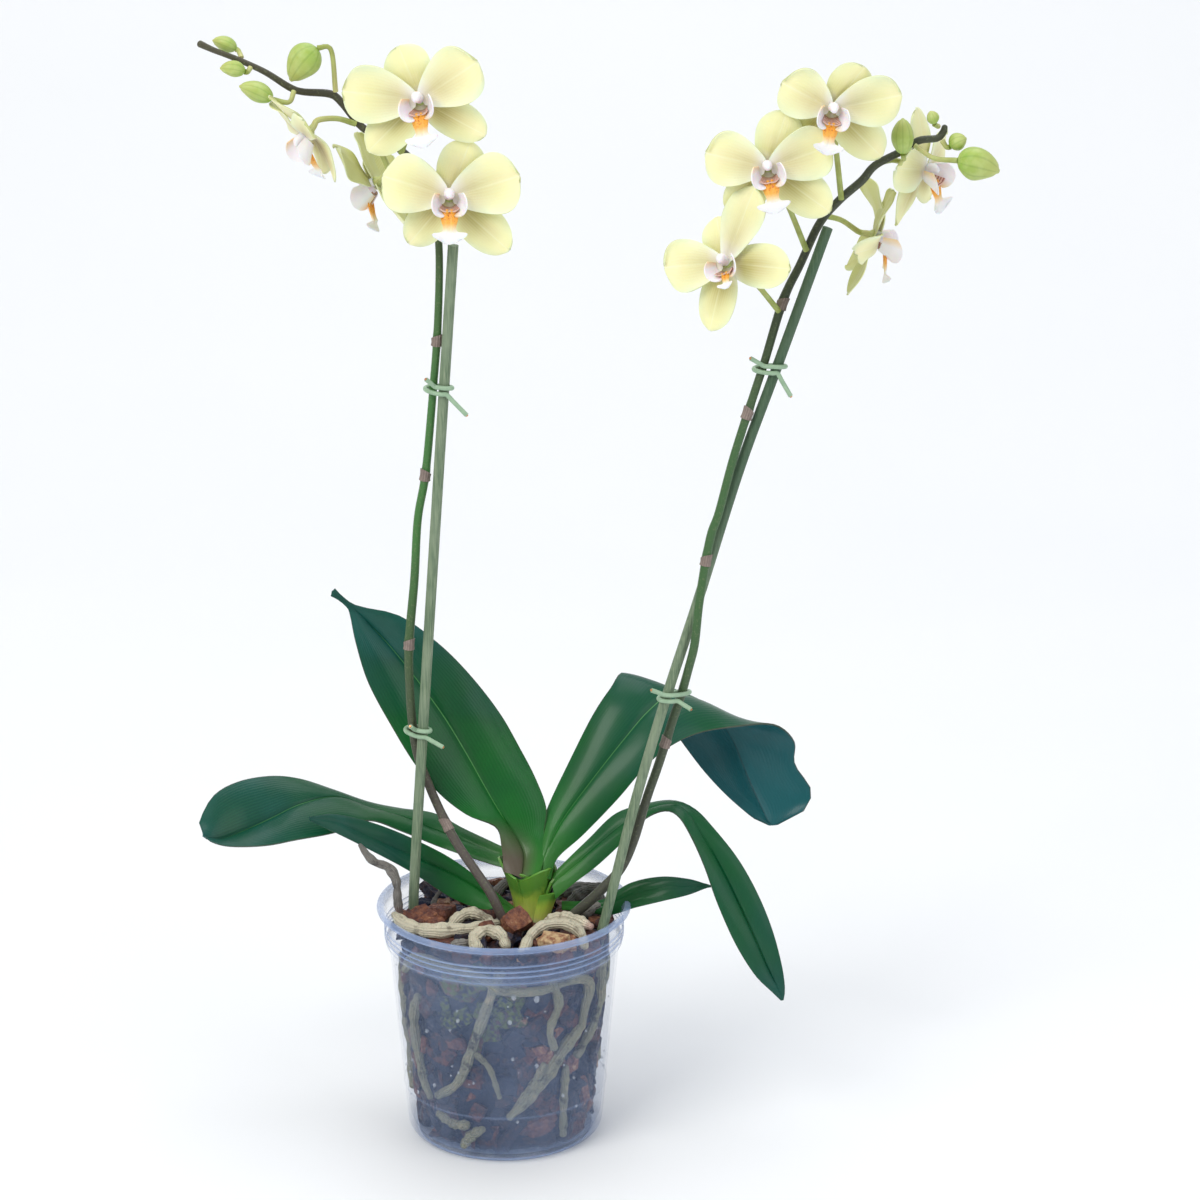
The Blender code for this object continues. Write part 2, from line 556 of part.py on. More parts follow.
def make_tie(name, spec, material, parent):
    """Covered wire bent once round the stake and the spike, from its low right end to its high left end."""
    stake, spike, height, right_end, left_end = spec
    on_stake = point_at_height(STAKES[stake], height)
    on_spike = point_at_height(SPIKES[spike], height)
    apart = on_spike - on_stake
    long_way = apart / np.linalg.norm(apart)
    short_way = np.cross((0, 0, 1), long_way)
    short_radius = STAKE_RADIUS + TIE_RADIUS + TIE_SLACK
    long_radius = short_radius + np.linalg.norm(apart) / 2
    front = math.atan2(-short_way[1], -long_way[1])
    angles = front + np.linspace(TIE_MOUTH, 2 * math.pi - TIE_MOUTH, TIE_STEPS)[:, None]
    rise = np.linspace(-TIE_RISE / 2, TIE_RISE / 2, TIE_STEPS)[:, None] * np.array((0, 0, 1))
    ring = long_radius * np.cos(angles) * long_way + short_radius * np.sin(angles) * short_way
    loop = (on_stake + on_spike) / 2 + ring + rise
    points = [loop[0] + right_end, *loop, loop[-1] + left_end]
    rows = [(*point, TIE_RADIUS) for point in points]
    add_object(name, tube_mesh(name, rows, per_span=1), material, parent)


def main():
    clear_scene()
    materials = {name: make_material(name) for name in COLOURS}
    orchid = bpy.data.objects.new("orchid", None)
    bpy.context.scene.collection.objects.link(orchid)

    make_pot(materials["pot"], orchid)
    make_bark(materials["bark"], orchid)
    make_crown(materials["stem"], orchid)
    for name, stations in LEAVES.items():
        add_object(name, sheet_mesh(name, leaf_grid(stations), LEAF_THICKNESS), materials["leaf"], orchid)
    for name, route in SPIKES.items():
        add_object(name, tube_mesh(name, route, per_span=1), materials["stem"], orchid)
    for name, route in STAKES.items():
        rows = [(*point, STAKE_RADIUS) for point in route]
        add_object(name, tube_mesh(name, rows, resolution=2, per_span=1), materials["cane"], orchid)
    for name, spec in TIES.items():
        make_tie(name, spec, materials["tie"], orchid)
    for name, spec in FLOWERS.items():
        make_flower(name, spec, materials, orchid)
    for name, spec in BUDS.items():
        make_bud(name, spec, materials["bud"], orchid)
    for name, route in ROOTS.items():
        add_object(name, tube_mesh(name, route), materials["root"], orchid)
    for name, route in WALL_ROOTS.items():
        rows = [wall_point(angle, height, radius) for angle, height, radius in route]
        add_object(name, tube_mesh(name, rows), materials["root"], orchid)


main()
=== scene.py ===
"""A potted moth orchid: two staked spikes of pale yellow flowers over six strap leaves, in a clear
nursery pot.

Sizes are millimetres, and MM turns them into metres where a mesh is made. +Z is up, the flowers look
towards -Y, and the origin is the middle of the pot's underside. A surface is a grid of points: rows run
along it and columns run across or round it.
"""

import math

import bpy
import numpy as np
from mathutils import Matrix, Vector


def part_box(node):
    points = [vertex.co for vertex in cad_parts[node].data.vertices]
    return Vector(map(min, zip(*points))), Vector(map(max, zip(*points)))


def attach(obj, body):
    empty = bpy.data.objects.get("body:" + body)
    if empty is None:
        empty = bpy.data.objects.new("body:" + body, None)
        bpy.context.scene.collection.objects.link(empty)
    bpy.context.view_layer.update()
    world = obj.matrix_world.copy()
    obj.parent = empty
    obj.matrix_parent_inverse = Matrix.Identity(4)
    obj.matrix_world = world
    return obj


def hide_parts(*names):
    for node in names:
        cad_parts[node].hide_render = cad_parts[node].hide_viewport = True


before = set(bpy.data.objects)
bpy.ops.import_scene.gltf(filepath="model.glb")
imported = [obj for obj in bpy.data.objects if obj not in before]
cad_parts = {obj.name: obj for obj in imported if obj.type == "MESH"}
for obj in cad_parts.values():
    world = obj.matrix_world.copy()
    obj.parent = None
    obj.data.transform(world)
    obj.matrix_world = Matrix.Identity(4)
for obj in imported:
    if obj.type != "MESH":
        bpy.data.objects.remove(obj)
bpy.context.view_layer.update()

MM = 0.001
FULL_TURN = 2 * math.pi

# ---- The pot's driving sizes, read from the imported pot's own box ----

pot_low, pot_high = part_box("pot")
POT_HEIGHT = (pot_high.z - pot_low.z) / MM
RIM_RADIUS = (pot_high.x - pot_low.x) / 2 / MM
COLLAR_RADIUS = RIM_RADIUS - 3.4
COLLAR_FOOT = POT_HEIGHT - 19.0
BODY_TOP_RADIUS = RIM_RADIUS - 5.6
BODY_FOOT_RADIUS = RIM_RADIUS - 13.6
CORNER_RADIUS = 5.5
FOOT_RADIUS = RIM_RADIUS - 19.0
FOOT_HEIGHT = 1.6
WALL = 1.1
FLOOR_TOP = 3.0
BARK_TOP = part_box("potting_bark")[1].z / MM
POT_SEGMENTS = 144
DRAIN_HOLES = 8
DRAIN_CIRCLE = 30.0
DRAIN_RADIUS = 4.0
# The number of bark chips in each layer.
WALL_CHIPS = 560
TOP_CHIPS = 230
FLOOR_CHIPS = 120
# Where the crown stands, in x and y.
CROWN_AXIS = (12.0, 7.0)

# ---- Routes: x, y, z and radius ----

STAKES = {
    "stake_left": [(-43, 3, 60), (-43, 3, 109), (-37, -1, 202), (-29, -5, 313), (-20, -10, 433)],
    "stake_right": [(34, -12, 60), (47, -15, 109), (62, -16, 172), (76, -17, 223), (90, -17, 269),
                    (108, -18, 331), (124, -19, 378), (146, -20, 443)],
}
STAKE_RADIUS = 2.4

SPIKES = {
    "spike_left": [
        (0, -9, 108.9, 2.3), (-6, -8, 122, 2.3), (-13, -5, 132, 2.2), (-23, 0, 146, 2.2),
        (-31, 6, 161, 2.1), (-36, 8, 173, 2.1), (-40, 6, 186, 2.1), (-42, 3, 202, 2.1),
        (-43, 2, 220, 2.0), (-43, 1, 242, 2.1), (-40, 0, 274, 2.0), (-38, -1, 303, 1.9),
        (-34, -2, 326, 1.9), (-30, -4, 366, 1.8), (-27.5, -6, 396, 1.8), (-26.5, -6.5, 430, 1.7),
        (-29, -4, 450, 1.7), (-37, -2, 468, 1.7), (-49, 0, 478, 1.7), (-60, 0, 484, 1.7),
        (-69, 0, 495, 1.7), (-74, 0, 499, 1.8), (-86, 0, 500, 1.6), (-92, 0, 502, 1.6),
        (-103, 0, 509, 1.4), (-116, 0, 515, 1.3), (-125, 0, 518.5, 1.3), (-131, 0, 521.3, 1.6)],
    "spike_right": [
        (33, -3, 109.4, 2.5), (41, -6, 118, 2.5), (47, -8, 125, 2.4), (55, -9, 135, 2.3),
        (61, -9.5, 149, 2.2), (67, -9.5, 170, 2.1), (72.5, -9.5, 187, 2.1), (78.5, -11, 208, 2.1),
        (82.3, -13, 221, 2.1), (86, -17.5, 237, 2.0), (88.5, -21.5, 250, 2.0), (90.5, -22.8, 271, 2.0),
        (95, -23, 300, 2.0), (99, -23, 313, 1.9), (105.5, -22.5, 339, 1.9), (114.5, -20, 368, 1.9),
        (119, -18, 382, 1.9), (127, -14.5, 409, 2.0), (134.5, -12.5, 425, 1.9), (142.5, -12.5, 443, 1.9),
        (151, -14, 454, 1.9), (161, -14, 463, 1.9), (167, -14, 470, 1.8), (180, -14, 477, 1.7),
        (186, -14, 481, 1.7), (194, -14, 482, 1.6), (196.5, -14, 485, 1.6), (197, -14, 487, 1.3)],
}
# Heights of the spikes' nodes, each under a dry bract.
BRACTS = {
    "spike_left": (153, 243, 325, 389),
    "spike_right": (199, 291, 359, 408),
}
BRACT_HEIGHT = 5.6

# Leaves, foot to tip: x, y, z of the left edge, the midrib and the right edge, seen from the foot with
# the upper face up.
LEAVES = {
    "leaf_upper_left": [
        (0, -1, 130, 8.5, -3, 127, 17, -1, 129),
        (-1, 4, 140, 9, 7, 136, 19.5, 8, 137),
        (-3.8, 8, 149.2, 3.2, 13, 145.4, 18.7, 14, 144.4),
        (-17.2, 9, 154.8, -2.6, 16, 154.2, 19.8, 19, 154.2),
        (-30.1, 12, 164.2, -9.5, 20, 165.4, 15.2, 24, 166.1),
        (-41.8, 14, 178.2, -18.4, 24, 180.9, 8.2, 30, 178.7),
        (-52.6, 17, 196, -29.2, 27, 198.7, -1.7, 33, 196.6),
        (-63.2, 19, 217.2, -42.9, 29, 217.9, -15.4, 33, 215.5),
        (-68.9, 22, 235.9, -55.6, 30, 234.3, -31, 32, 232.6),
        (-71.5, 26, 247.4, -66.1, 29, 246.4, -48.4, 29, 247),
        (-73.1, 28, 251.3, -71.1, 28.5, 251.7, -67.6, 28, 252.1),
        (-77.3, 27.5, 255.4, -76.1, 28, 256.4, -74.1, 27.5, 256.2),
        (-80.6, 27, 257.4, -79.9, 27, 259.6, -78.5, 27, 261.1)],
    "leaf_upper_right": [
        (12, 10, 129, 17, 1, 127, 22, 2, 125),
        (16.5, 14, 140.4, 20.3, 7, 137, 25, 6, 134),
        (20.2, 22, 152.4, 27.2, 16, 148.9, 37.1, 12, 143.5),
        (30.1, 32, 171.6, 41.1, 24, 166.1, 54, 18, 159.8),
        (41.1, 42, 191.3, 56, 33, 182.9, 67.9, 24, 174.5),
        (50.1, 50, 203, 69, 42, 195.6, 79.9, 30, 182.5),
        (57.1, 60, 207.2, 80.2, 52, 199.5, 93.9, 36, 187.1),
        (72.4, 68, 188.6, 97.5, 61, 191.1, 110.1, 44, 187),
        (86.7, 69, 167.8, 108.9, 64, 174.6, 128.5, 52, 184.6),
        (95.9, 67, 155.6, 114.6, 62, 160.7, 138.6, 58, 173.9),
        (106.1, 64, 144.8, 120.2, 60, 147.3, 139.3, 60, 161.4),
        (115.2, 60, 137.6, 124.3, 58, 138.3, 147.5, 58, 148.1),
        (121.3, 57, 133.9, 126.9, 56, 133, 141.5, 56, 136.5),
        (126.3, 55, 132.5, 128.3, 55, 132.1, 131.4, 55, 132.5)],
    "leaf_low_left": [
        (7.3, 8, 127.6, 6.3, 12, 130.7, 5.2, 16, 133),
        (-0.7, 12, 127.1, -2.8, 18, 131.1, -5.9, 24, 135.2),
        (-16.7, 17, 130.4, -17.9, 24, 135.2, -20, 30, 139.9),
        (-32.8, 22, 134.5, -33, 29, 139, -34.2, 36, 145.4),
        (-48.8, 24, 141, -49.1, 32, 145, -50.4, 38, 147),
        (-64.6, 22, 147.3, -64.1, 33, 148.9, -65.4, 38, 150.2),
        (-80.1, 14, 143.7, -80, 33, 154.8, -82.3, 38, 156.6),
        (-98.4, 6, 142.8, -96.4, 24, 154.4, -98.1, 36, 163.1),
        (-109.9, 2, 142.2, -110, 18, 149.7, -111.7, 32, 166.1),
        (-121.5, -1, 142.8, -123.6, 12, 145.2, -126.2, 26, 165.3),
        (-130.4, -1, 143.2, -133, 6, 143.7, -137.5, 18, 160.9),
        (-136.8, -1, 145.1, -138.5, 2, 145.8, -143.5, 9, 151.6),
        (-140, 0, 147.2, -140.9, 1, 147.7, -141.8, 3, 149)],
    "leaf_front_left": [
        (3.4, 0, 108.4, 5.4, 2, 109.1, 3.3, 4, 111),
        (-9.6, 4, 108.9, -7.3, 8, 114.3, -9.3, 10, 120),
        (-24.6, 8, 113.1, -23.7, 14, 122.6, -25.7, 16, 130.4),
        (-45.2, 10, 126.4, -44.6, 16, 131.9, -45.3, 18, 140.3),
        (-63.8, 9, 137.4, -63.6, 13, 142.2, -64, 16, 148.7),
        (-78.4, 5, 147, -78.5, 8, 151.3, -79.6, 10, 154.8),
        (-87.1, 3, 152.2, -88.1, 4, 154.6, -88.1, 5, 155.9),
        (-90.8, 3, 154.5, -91.2, 3, 155.4, -90.7, 3, 156.2)],
    "leaf_drooping_right": [
        (23.2, 6, 126.2, 22.7, 3, 122.1, 24.3, 0, 115.9),
        (31.2, 9, 133.6, 31.2, 6, 128.4, 33.2, 2, 123.2),
        (40.1, 12, 141.5, 41.1, 8, 137.1, 44.1, 4, 131.3),
        (52, 14, 152.9, 54, 9, 148, 57.9, 5, 144.7),
        (63.9, 14, 157.5, 64.8, 9, 155.6, 66.8, 4, 155),
        (78.7, 10, 161.6, 77.6, 5, 161.1, 75.9, 0, 160.5),
        (89.4, 4, 159.8, 85.4, -1, 160.2, 82.3, -6, 159.4),
        (99.1, -4, 152.4, 93.6, -7, 149.3, 88.1, -12, 151.2),
        (109.9, -10, 140, 102, -12, 135.5, 94, -17, 138.5),
        (118.7, -14, 124.7, 109.9, -16, 120.2, 99.9, -21, 122.2),
        (125.6, -18, 108.3, 117.8, -20, 103.9, 108.4, -24, 103.4),
        (130.3, -21, 91.5, 124.4, -22, 88.8, 117.7, -26, 88.3),
        (131.9, -23, 80.7, 129.1, -24, 80, 125.7, -26, 79.8),
        (131.4, -24, 74.7, 130.8, -24, 74.7, 130, -24, 74.7)],
    "leaf_low_right": [
        (27.2, 6, 112.4, 27.2, 5, 110.6, 27.2, 4, 108.9),
        (38.1, 6, 112.4, 38.1, 5, 110, 38.1, 4, 107.8),
        (47.1, 6, 113.4, 48, 4, 111, 50, 2, 107.2),
        (59.9, 5, 122, 60.9, 2, 117.2, 61.9, -2, 112.4),
        (73.8, 3, 125.9, 74.8, 0, 121.8, 74.7, -4, 116.4),
        (86.6, 1, 125.7, 87.2, -1, 122.6, 86.6, -3, 119.2),
        (94.5, -1, 124.3, 94.7, -1, 123.1, 94.7, -2, 122),
        (97.6, -2, 123.7, 97.6, -2, 123.3, 97.6, -2, 122.8)],
}
LEAF_THICKNESS = 1.9

# Roots over the bark: x, y, z and radius.
ROOTS = {
    "root_front_left": [(-51, -9, 111.5, 2.0), (-49, -15, 112, 2.9), (-44, -21, 110.8, 3.2),
                        (-34, -26, 110.6, 3.5), (-22, -25, 110.6, 3.4), (-11, -22.5, 110.6, 3.1),
                        (-3, -16, 110, 2.5)],
    "root_loop_left": [(-25, -19, 109.4, 2.4), (-22, -13, 111, 2.7), (-16, -9, 112.6, 2.8),
                       (-9, -11, 111, 2.7), (-5, -15, 108.5, 2.3)],
    "root_curl_front": [(-12, -41, 108.4, 2.8), (-13, -34, 110.2, 3.1), (-7.5, -29.5, 112, 3.1),
                        (-0.5, -33, 111, 2.9), (1.8, -40, 108.8, 2.3)],
    "root_arch_front": [(10, -45, 108, 2.3), (13, -35, 111.5, 2.7), (20, -28, 114, 2.7),
                        (30, -27, 114, 2.7), (36.5, -32, 111.5, 2.5), (38, -39, 108.5, 2.2)],
    "root_short_right": [(21, -13, 109.4, 2.8), (26, -13.5, 112, 3.3), (33, -16.5, 112.2, 3.1),
                         (38, -19, 111, 2.8), (41, -20.5, 110.3, 1.9)],
    "root_aerial_left": [(-67, -6, 145.5, 1.3), (-63.5, -5.5, 140, 1.8), (-60, -5, 136.5, 2.1),
                         (-54, -4, 133.5, 2.2), (-50.5, -4.5, 127, 2.3), (-50, -4, 117, 2.1),
                         (-49, -3, 108, 2.0)],
}
# Grey older roots behind the crown, which the bark's box holds.
BACK_ROOTS = [
    [(28, 18, 104, 2.6), (38, 20, 112, 2.8), (47, 16, 116, 2.2), (51, 13, 121, 1.4)],
    [(22, 26, 104, 2.8), (34, 30, 110, 3.0), (44, 28, 108, 2.6), (47, 22, 102, 2.4)],
    [(-8, 26, 103, 2.4), (0, 30, 112, 2.5), (10, 32, 114, 2.5), (18, 28, 106, 2.2)],
    [(36, 2, 104, 2.2), (42, 4, 110, 2.4), (48, 8, 109, 2.2), (50, 14, 103, 2.0)],
    [(-36, 10, 104, 1.3), (-32, 12, 113, 1.1), (-28, 10, 117, 0.8)],
    [(-30, -36, 104, 2.4), (-22, -37, 107.6, 2.6), (-14, -34, 107.4, 2.4), (-6, -36, 104, 2.2)],
    [(6, -22, 104, 2.2), (8, -15, 108.5, 2.4), (3, -9, 109.5, 2.2), (-6, -6, 105, 2.2)],
]

# Roots that run down the inside of the wall: angle round the pot from +X, height, radius.
WALL_ROOTS = {
    "root_wall_left": [(-91, 99, 2.6), (-94, 92, 2.6), (-103, 70, 2.6), (-109, 56, 2.5),
                       (-114, 45, 2.3), (-121, 37, 2.4), (-133, 30, 2.0)],
    "root_wall_right": [(-39, 65, 2.8), (-50, 57, 3.4), (-60, 47, 3.6), (-72, 35, 3.2), (-86, 24, 2.2)],
}
DEEP_ROOTS = [
    [(-158, 88, 2.4), (-145, 98, 2.6), (-124, 100, 2.5), (-101, 97, 2.4), (-91, 91, 2.2), (-70, 89, 2.4),
     (-50, 91, 2.4), (-36, 86, 2.4), (-38, 74, 2.3), (-40, 64, 2.1)],
    [(-105, 57, 1.5), (-99, 52, 1.5), (-96, 47, 1.4), (-92, 35, 1.2)],
    [(-145, 78, 2.4), (-152, 66, 2.6), (-152, 52, 2.6), (-147, 36, 2.2), (-141, 27, 2.0)],
    [(-66, 50, 1.8), (-72, 40, 2.2), (-80, 32, 1.8)],
    [(-24, 92, 2.6), (-20, 74, 2.6), (-30, 60, 2.4), (-42, 50, 2.2)],
    [(-134, 20, 2.0), (-122, 17, 2.4), (-113, 18, 2.2)],
    [(-116, 7, 2.2), (-110, 13, 2.6), (-103, 17, 2.0)],
    [(-51, 46, 1.9), (-51, 28, 2.0), (-50, 10, 1.9)],
    [(-62, 92, 2.2), (-58, 80, 2.2), (-63, 68, 2.0), (-60, 58, 1.8)],
    [(20, 95, 2.6), (12, 74, 2.6), (22, 52, 2.4), (14, 30, 2.2)],
    [(62, 96, 2.4), (80, 84, 2.6), (96, 66, 2.6), (88, 44, 2.4), (100, 20, 2.0)],
    [(128, 90, 2.4), (140, 70, 2.6), (132, 50, 2.6), (150, 28, 2.2)],
    [(170, 84, 2.4), (182, 62, 2.6), (174, 40, 2.4), (186, 22, 2.0)],
]

# The chips that show most, two red ones in front of the crown, a tan block and a rusty heap: middle,
# size and tone.
SHOWN_CHIPS = [
    ((6, -20, 112.5), (14, 12, 9), 0.72), ((-7, -26, 110), (10, 9, 6), 0.62),
    ((24, -39, 110), (15, 9, 7), 0.98), ((30, -38, 109), (9, 8, 6), 0.9),
    ((-38, -8, 110.5), (13, 11, 6), 0.66), ((-30, -5, 111.5), (14, 10, 6), 0.6),
    ((-44, -12, 109.5), (11, 9, 6), 0.55), ((-33, -12, 109.5), (11, 10, 5), 0.7),
    ((2, -35, 109), (9, 8, 5), 0.3),
]

# Buds: foot of the stalk on the spike, the stalk's turn, the bud's neck and its tip, and its radius.
BUDS = {
    "bud_left_1": ((-71.5, -2.2, 500.5), (-73, -5, 519.5), (-79, -6, 520.5), (-91, -6, 506), 7.4),
    "bud_left_2": ((-90, -1.6, 500.5), (-92, -6, 496.5), (-99, -8, 498), (-113.5, -8, 504), 4.5),
    "bud_left_3": ((-109, -1.4, 511), (-110, -4.0, 509.5), (-111, -5, 509.8), (-122, -6, 511.5), 3.6),
    "bud_left_4": ((-113, 1.2, 515), (-114.5, 4.2, 517.5), (-115.5, 5, 518), (-126, 5, 522), 3.5),
    "bud_right_1": ((179, -15.6, 476), (179, -18.6, 473.5), (178.5, -20, 476), (178, -20, 492), 5.0),
    "bud_right_2": ((194, -15.2, 487.5), (192.8, -18, 488.5), (192, -18.7, 489.2), (190, -19, 495), 2.8),
    "bud_right_3": ((196, -14, 481), (198, -15, 478.2), (199.5, -16, 478.5), (206.5, -17, 482.5), 4.0),
    "bud_right_4": ((184, -15.4, 479), (192, -21, 474.5), (202, -24, 474), (220.6, -24, 469), 7.4),
}

# Flowers: middle, the way each looks, roll of the lip's top to its left in degrees, size, the stalk's
# foot, and the size of the lip's middle lobe.
FLOWERS = {
    "flower_left_1": ((-33.5, -25, 501), (-0.15, -1.0, 0.05), 12, 1.0, (-43, -3.4, 473), 1.0),
    "flower_left_2": ((-21, -27, 458.5), (0.05, -1.0, 0.1), 0, 1.0, (-27, -7.4, 438.5), 1.0),
    "flower_left_3": ((-56, 8, 457), (-0.8, 0.12, -0.55), 12, 0.88, (-56, 1.4, 480.5), 1.15),
    "flower_left_4": ((-84, -12, 483), (-0.6, -0.35, -0.72), 5, 0.85, (-63, -1.6, 486), 1.2),
    "flower_right_1": ((146, -36, 499.5), (0.05, -1.0, -0.15), -9, 0.92, (152, -15.4, 455), 1.0),
    "flower_right_2": ((118.5, -36.6, 473.5), (-0.05, -1.0, 0.02), 11, 0.92, (137, -14.2, 431.5), 1.05),
    "flower_right_3": ((100.5, -38, 431.5), (-0.35, -0.9, 0.2), 24, 0.95, (125, -16.8, 404.5), 0.5),
    "flower_right_4": ((170, 13, 432), (0.9, 0.08, -0.25), 8, 0.88, (145, -10.6, 446.5), 1.25),
    "flower_right_5": ((190, 2, 465), (0.8, -0.5, -0.15), 14, 0.86, (168, -12.2, 470.5), 1.2),
}
# Each flower's dorsal sepal, right and left petals, right and left lateral sepals: angle from its right
# in degrees, length, half width and how far the tip swings back, as a share of the length.
TEPALS = {
    "flower_left_1": ((113, 25, 10.4, 0.06), (34, 31.5, 13.2, 0.0), (175, 34.5, 13.0, 0.02),
                      (-28, 32.5, 8.8, 0.08), (-135, 34, 9.6, 0.1)),
    "flower_left_2": ((68, 26, 10.4, 0.08), (16, 32.5, 13.6, 0.02), (162, 30.5, 13.0, 0.06),
                      (-43, 36, 9.6, 0.04), (-130, 28, 8.8, 0.22)),
    "flower_left_3": ((118, 29, 9.8, 0.1), (60, 31, 11.5, 0.0), (168, 30, 11, 0.3), (-75, 30, 8.4, 0.1),
                      (-110, 28, 8.4, 0.0)),
    "flower_left_4": ((92, 30, 9.4, 0.0), (40, 24, 8.5, 0.1), (140, 27, 9.0, 0.2), (-75, 27, 8.4, -0.4),
                      (-108, 26, 9.4, -0.35)),
    "flower_right_1": ((52, 24.5, 10.4, 0.06), (11, 33.5, 12.8, 0.02), (153, 27, 12.8, 0.12),
                       (-46, 36, 10.4, 0.06), (-128, 26, 8.6, 0.2)),
    "flower_right_2": ((72, 28, 11.0, 0.06), (20, 32, 13.2, 0.04), (168, 30.5, 13.2, 0.1),
                       (-36, 37, 10.6, 0.04), (-128, 30, 9.6, 0.15)),
    "flower_right_3": ((112, 22, 9.0, 0.2), (72, 38, 9.6, 0.0), (189, 30, 12.4, 0.0), (-1, 31, 10.4, 0.02),
                       (-102, 33, 9.2, 0.1)),
    "flower_right_4": ((109, 28, 9.2, -0.05), (60, 29, 11.5, 0.5), (196, 25, 8.5, 0.6),
                       (-52, 27, 9.4, 0.2), (-107, 33, 8.4, 0.2)),
    "flower_right_5": ((100, 32, 10.4, 0.2), (28, 28, 12.4, 0.15), (170, 30, 12.6, 0.1), (-42, 30, 9.6, 0.1),
                       (-126, 34, 8.4, 0.0)),
}
TEPAL_THICKNESS = 0.7
LIP_THICKNESS = 0.6

# Ties: stake, spike, the loop's height, and where the wire's right and left ends point.
TIES = {
    "tie_left_upper": ("stake_left", "spike_left", 366, (9, -2, -9), (-4, -2, 4)),
    "tie_left_lower": ("stake_left", "spike_left", 200, (8, -2, -4), (-2, -4, 3)),
    "tie_right_upper": ("stake_right", "spike_right", 379, (6, -2, -10), (-6, -2, 4)),
    "tie_right_lower": ("stake_right", "spike_right", 223, (6, -3, -3), (-6, -2, 3)),
}
TIE_RADIUS = 1.05
TIE_RISE = 3.4


# ---- Numbers ----


def unit(vectors):
    """Each vector divided by its own length."""
    return vectors / np.linalg.norm(vectors, axis=-1, keepdims=True)


def smooth_path(rows, steps):
    """Catmull-Rom curve through the rows: each span is the usual cubic of its four nearest rows."""
    rows = np.asarray(rows, float)
    padded = np.vstack([2 * rows[0] - rows[1], rows, 2 * rows[-1] - rows[-2]])
    spans = len(rows) - 1
    before, start, end, after = (padded[i:i + spans, None] for i in range(4))
    t = np.linspace(0, 1, steps, endpoint=False)[None, :, None]
    curve = 0.5 * (2 * start + (end - before) * t
                   + (2 * before - 5 * start + 4 * end - after) * t ** 2
                   + (3 * start - before - 3 * end + after) * t ** 3)
    return np.vstack([curve.reshape(-1, rows.shape[1]), rows[-1:]])


def even_path(rows, count):
    """The smooth curve through the rows, read again at equal steps of its length."""
    fine = smooth_path(rows, 24)
    gone = np.concatenate([[0], np.cumsum(np.linalg.norm(np.diff(fine[:, :3], axis=0), axis=1))])
    places = np.linspace(0, gone[-1], count)
    return np.stack([np.interp(places, gone, column) for column in fine.T], axis=1)


def bell(x, middle, width):
    """One at the middle, falling off as a Gaussian of that width."""
    return np.exp(-((x - middle) / width) ** 2)


def ease(x, start, end):
    """Zero before start, one after end, and 3t² - 2t³ between."""
    t = np.clip((x - start) / (end - start), 0, 1)
    return t * t * (3 - 2 * t)


# ---- Surfaces: each makes a part, a dict of points, faces, uv, side and tone ----


def part(points, faces, uv, side=0.0, tone=0.5):
    count = len(points)
    return {"points": np.asarray(points, float), "faces": faces, "uv": np.asarray(uv, float),
            "side": np.broadcast_to(side, count).astype(float),
            "tone": np.broadcast_to(tone, count).astype(float)}


def lattice_faces(index):
    """The four corners of every cell of a grid of point numbers, facing across × along."""
    return np.stack([index[:-1, :-1], index[:-1, 1:], index[1:, 1:], index[1:, :-1]], axis=-1).reshape(-1, 4)


def sheet(grid, thickness, tone=0.5):
    """Thin closed body: the grid moved both ways along its normal by half the thickness, its rim joined."""
    grid = np.asarray(grid, float)
    rows, columns = grid.shape[:2]
    normal = unit(np.cross(np.gradient(grid, axis=1), np.gradient(grid, axis=0)))
    half = np.broadcast_to(thickness, (rows, columns))[..., None] / 2
    index = np.arange(rows * columns).reshape(rows, columns)
    size = index.size
    cells = lattice_faces(index)
    ring = np.concatenate([index[0, :-1], index[:-1, -1], index[-1, :0:-1], index[:0:-1, 0]])
    after = np.roll(ring, -1)
    rim = np.stack([after, ring, ring + size, after + size], axis=-1)
    u, v = np.meshgrid(np.linspace(0, 1, rows), np.linspace(0, 1, columns), indexing="ij")
    uv = np.stack([v.ravel(), u.ravel()], axis=-1)
    return part(np.vstack([(grid + normal * half).reshape(-1, 3), (grid - normal * half).reshape(-1, 3)]),
                cells.tolist() + (cells[:, ::-1] + size).tolist() + rim.tolist(),
                np.vstack([uv, uv]), np.repeat((0.0, 1.0), size), tone)


def closed_tube(grid, start, end, tone=0.5):
    """Rings joined along their path, and each end drawn in to one point."""
    rows, sides = grid.shape[:2]
    index = np.arange(rows * sides).reshape(rows, sides)
    cells = lattice_faces(np.hstack([index, index[:, :1]]))
    first, last = index.size, index.size + 1
    fans = [(first, after, now) for now, after in zip(index[0], np.roll(index[0], -1))]
    fans += [(last, now, after) for now, after in zip(index[-1], np.roll(index[-1], -1))]
    u = np.repeat(np.linspace(0, 1, rows), sides)
    v = np.tile(1 - np.abs(2 * np.arange(sides) / sides - 1), rows)
    uv = np.vstack([np.stack([v, u], axis=-1), [(0.5, 0), (0.5, 1)]])
    points = np.vstack([grid.reshape(-1, 3), start, end])
    return part(points, cells.tolist() + [tuple(int(i) for i in fan) for fan in fans], uv, 0.0, tone)


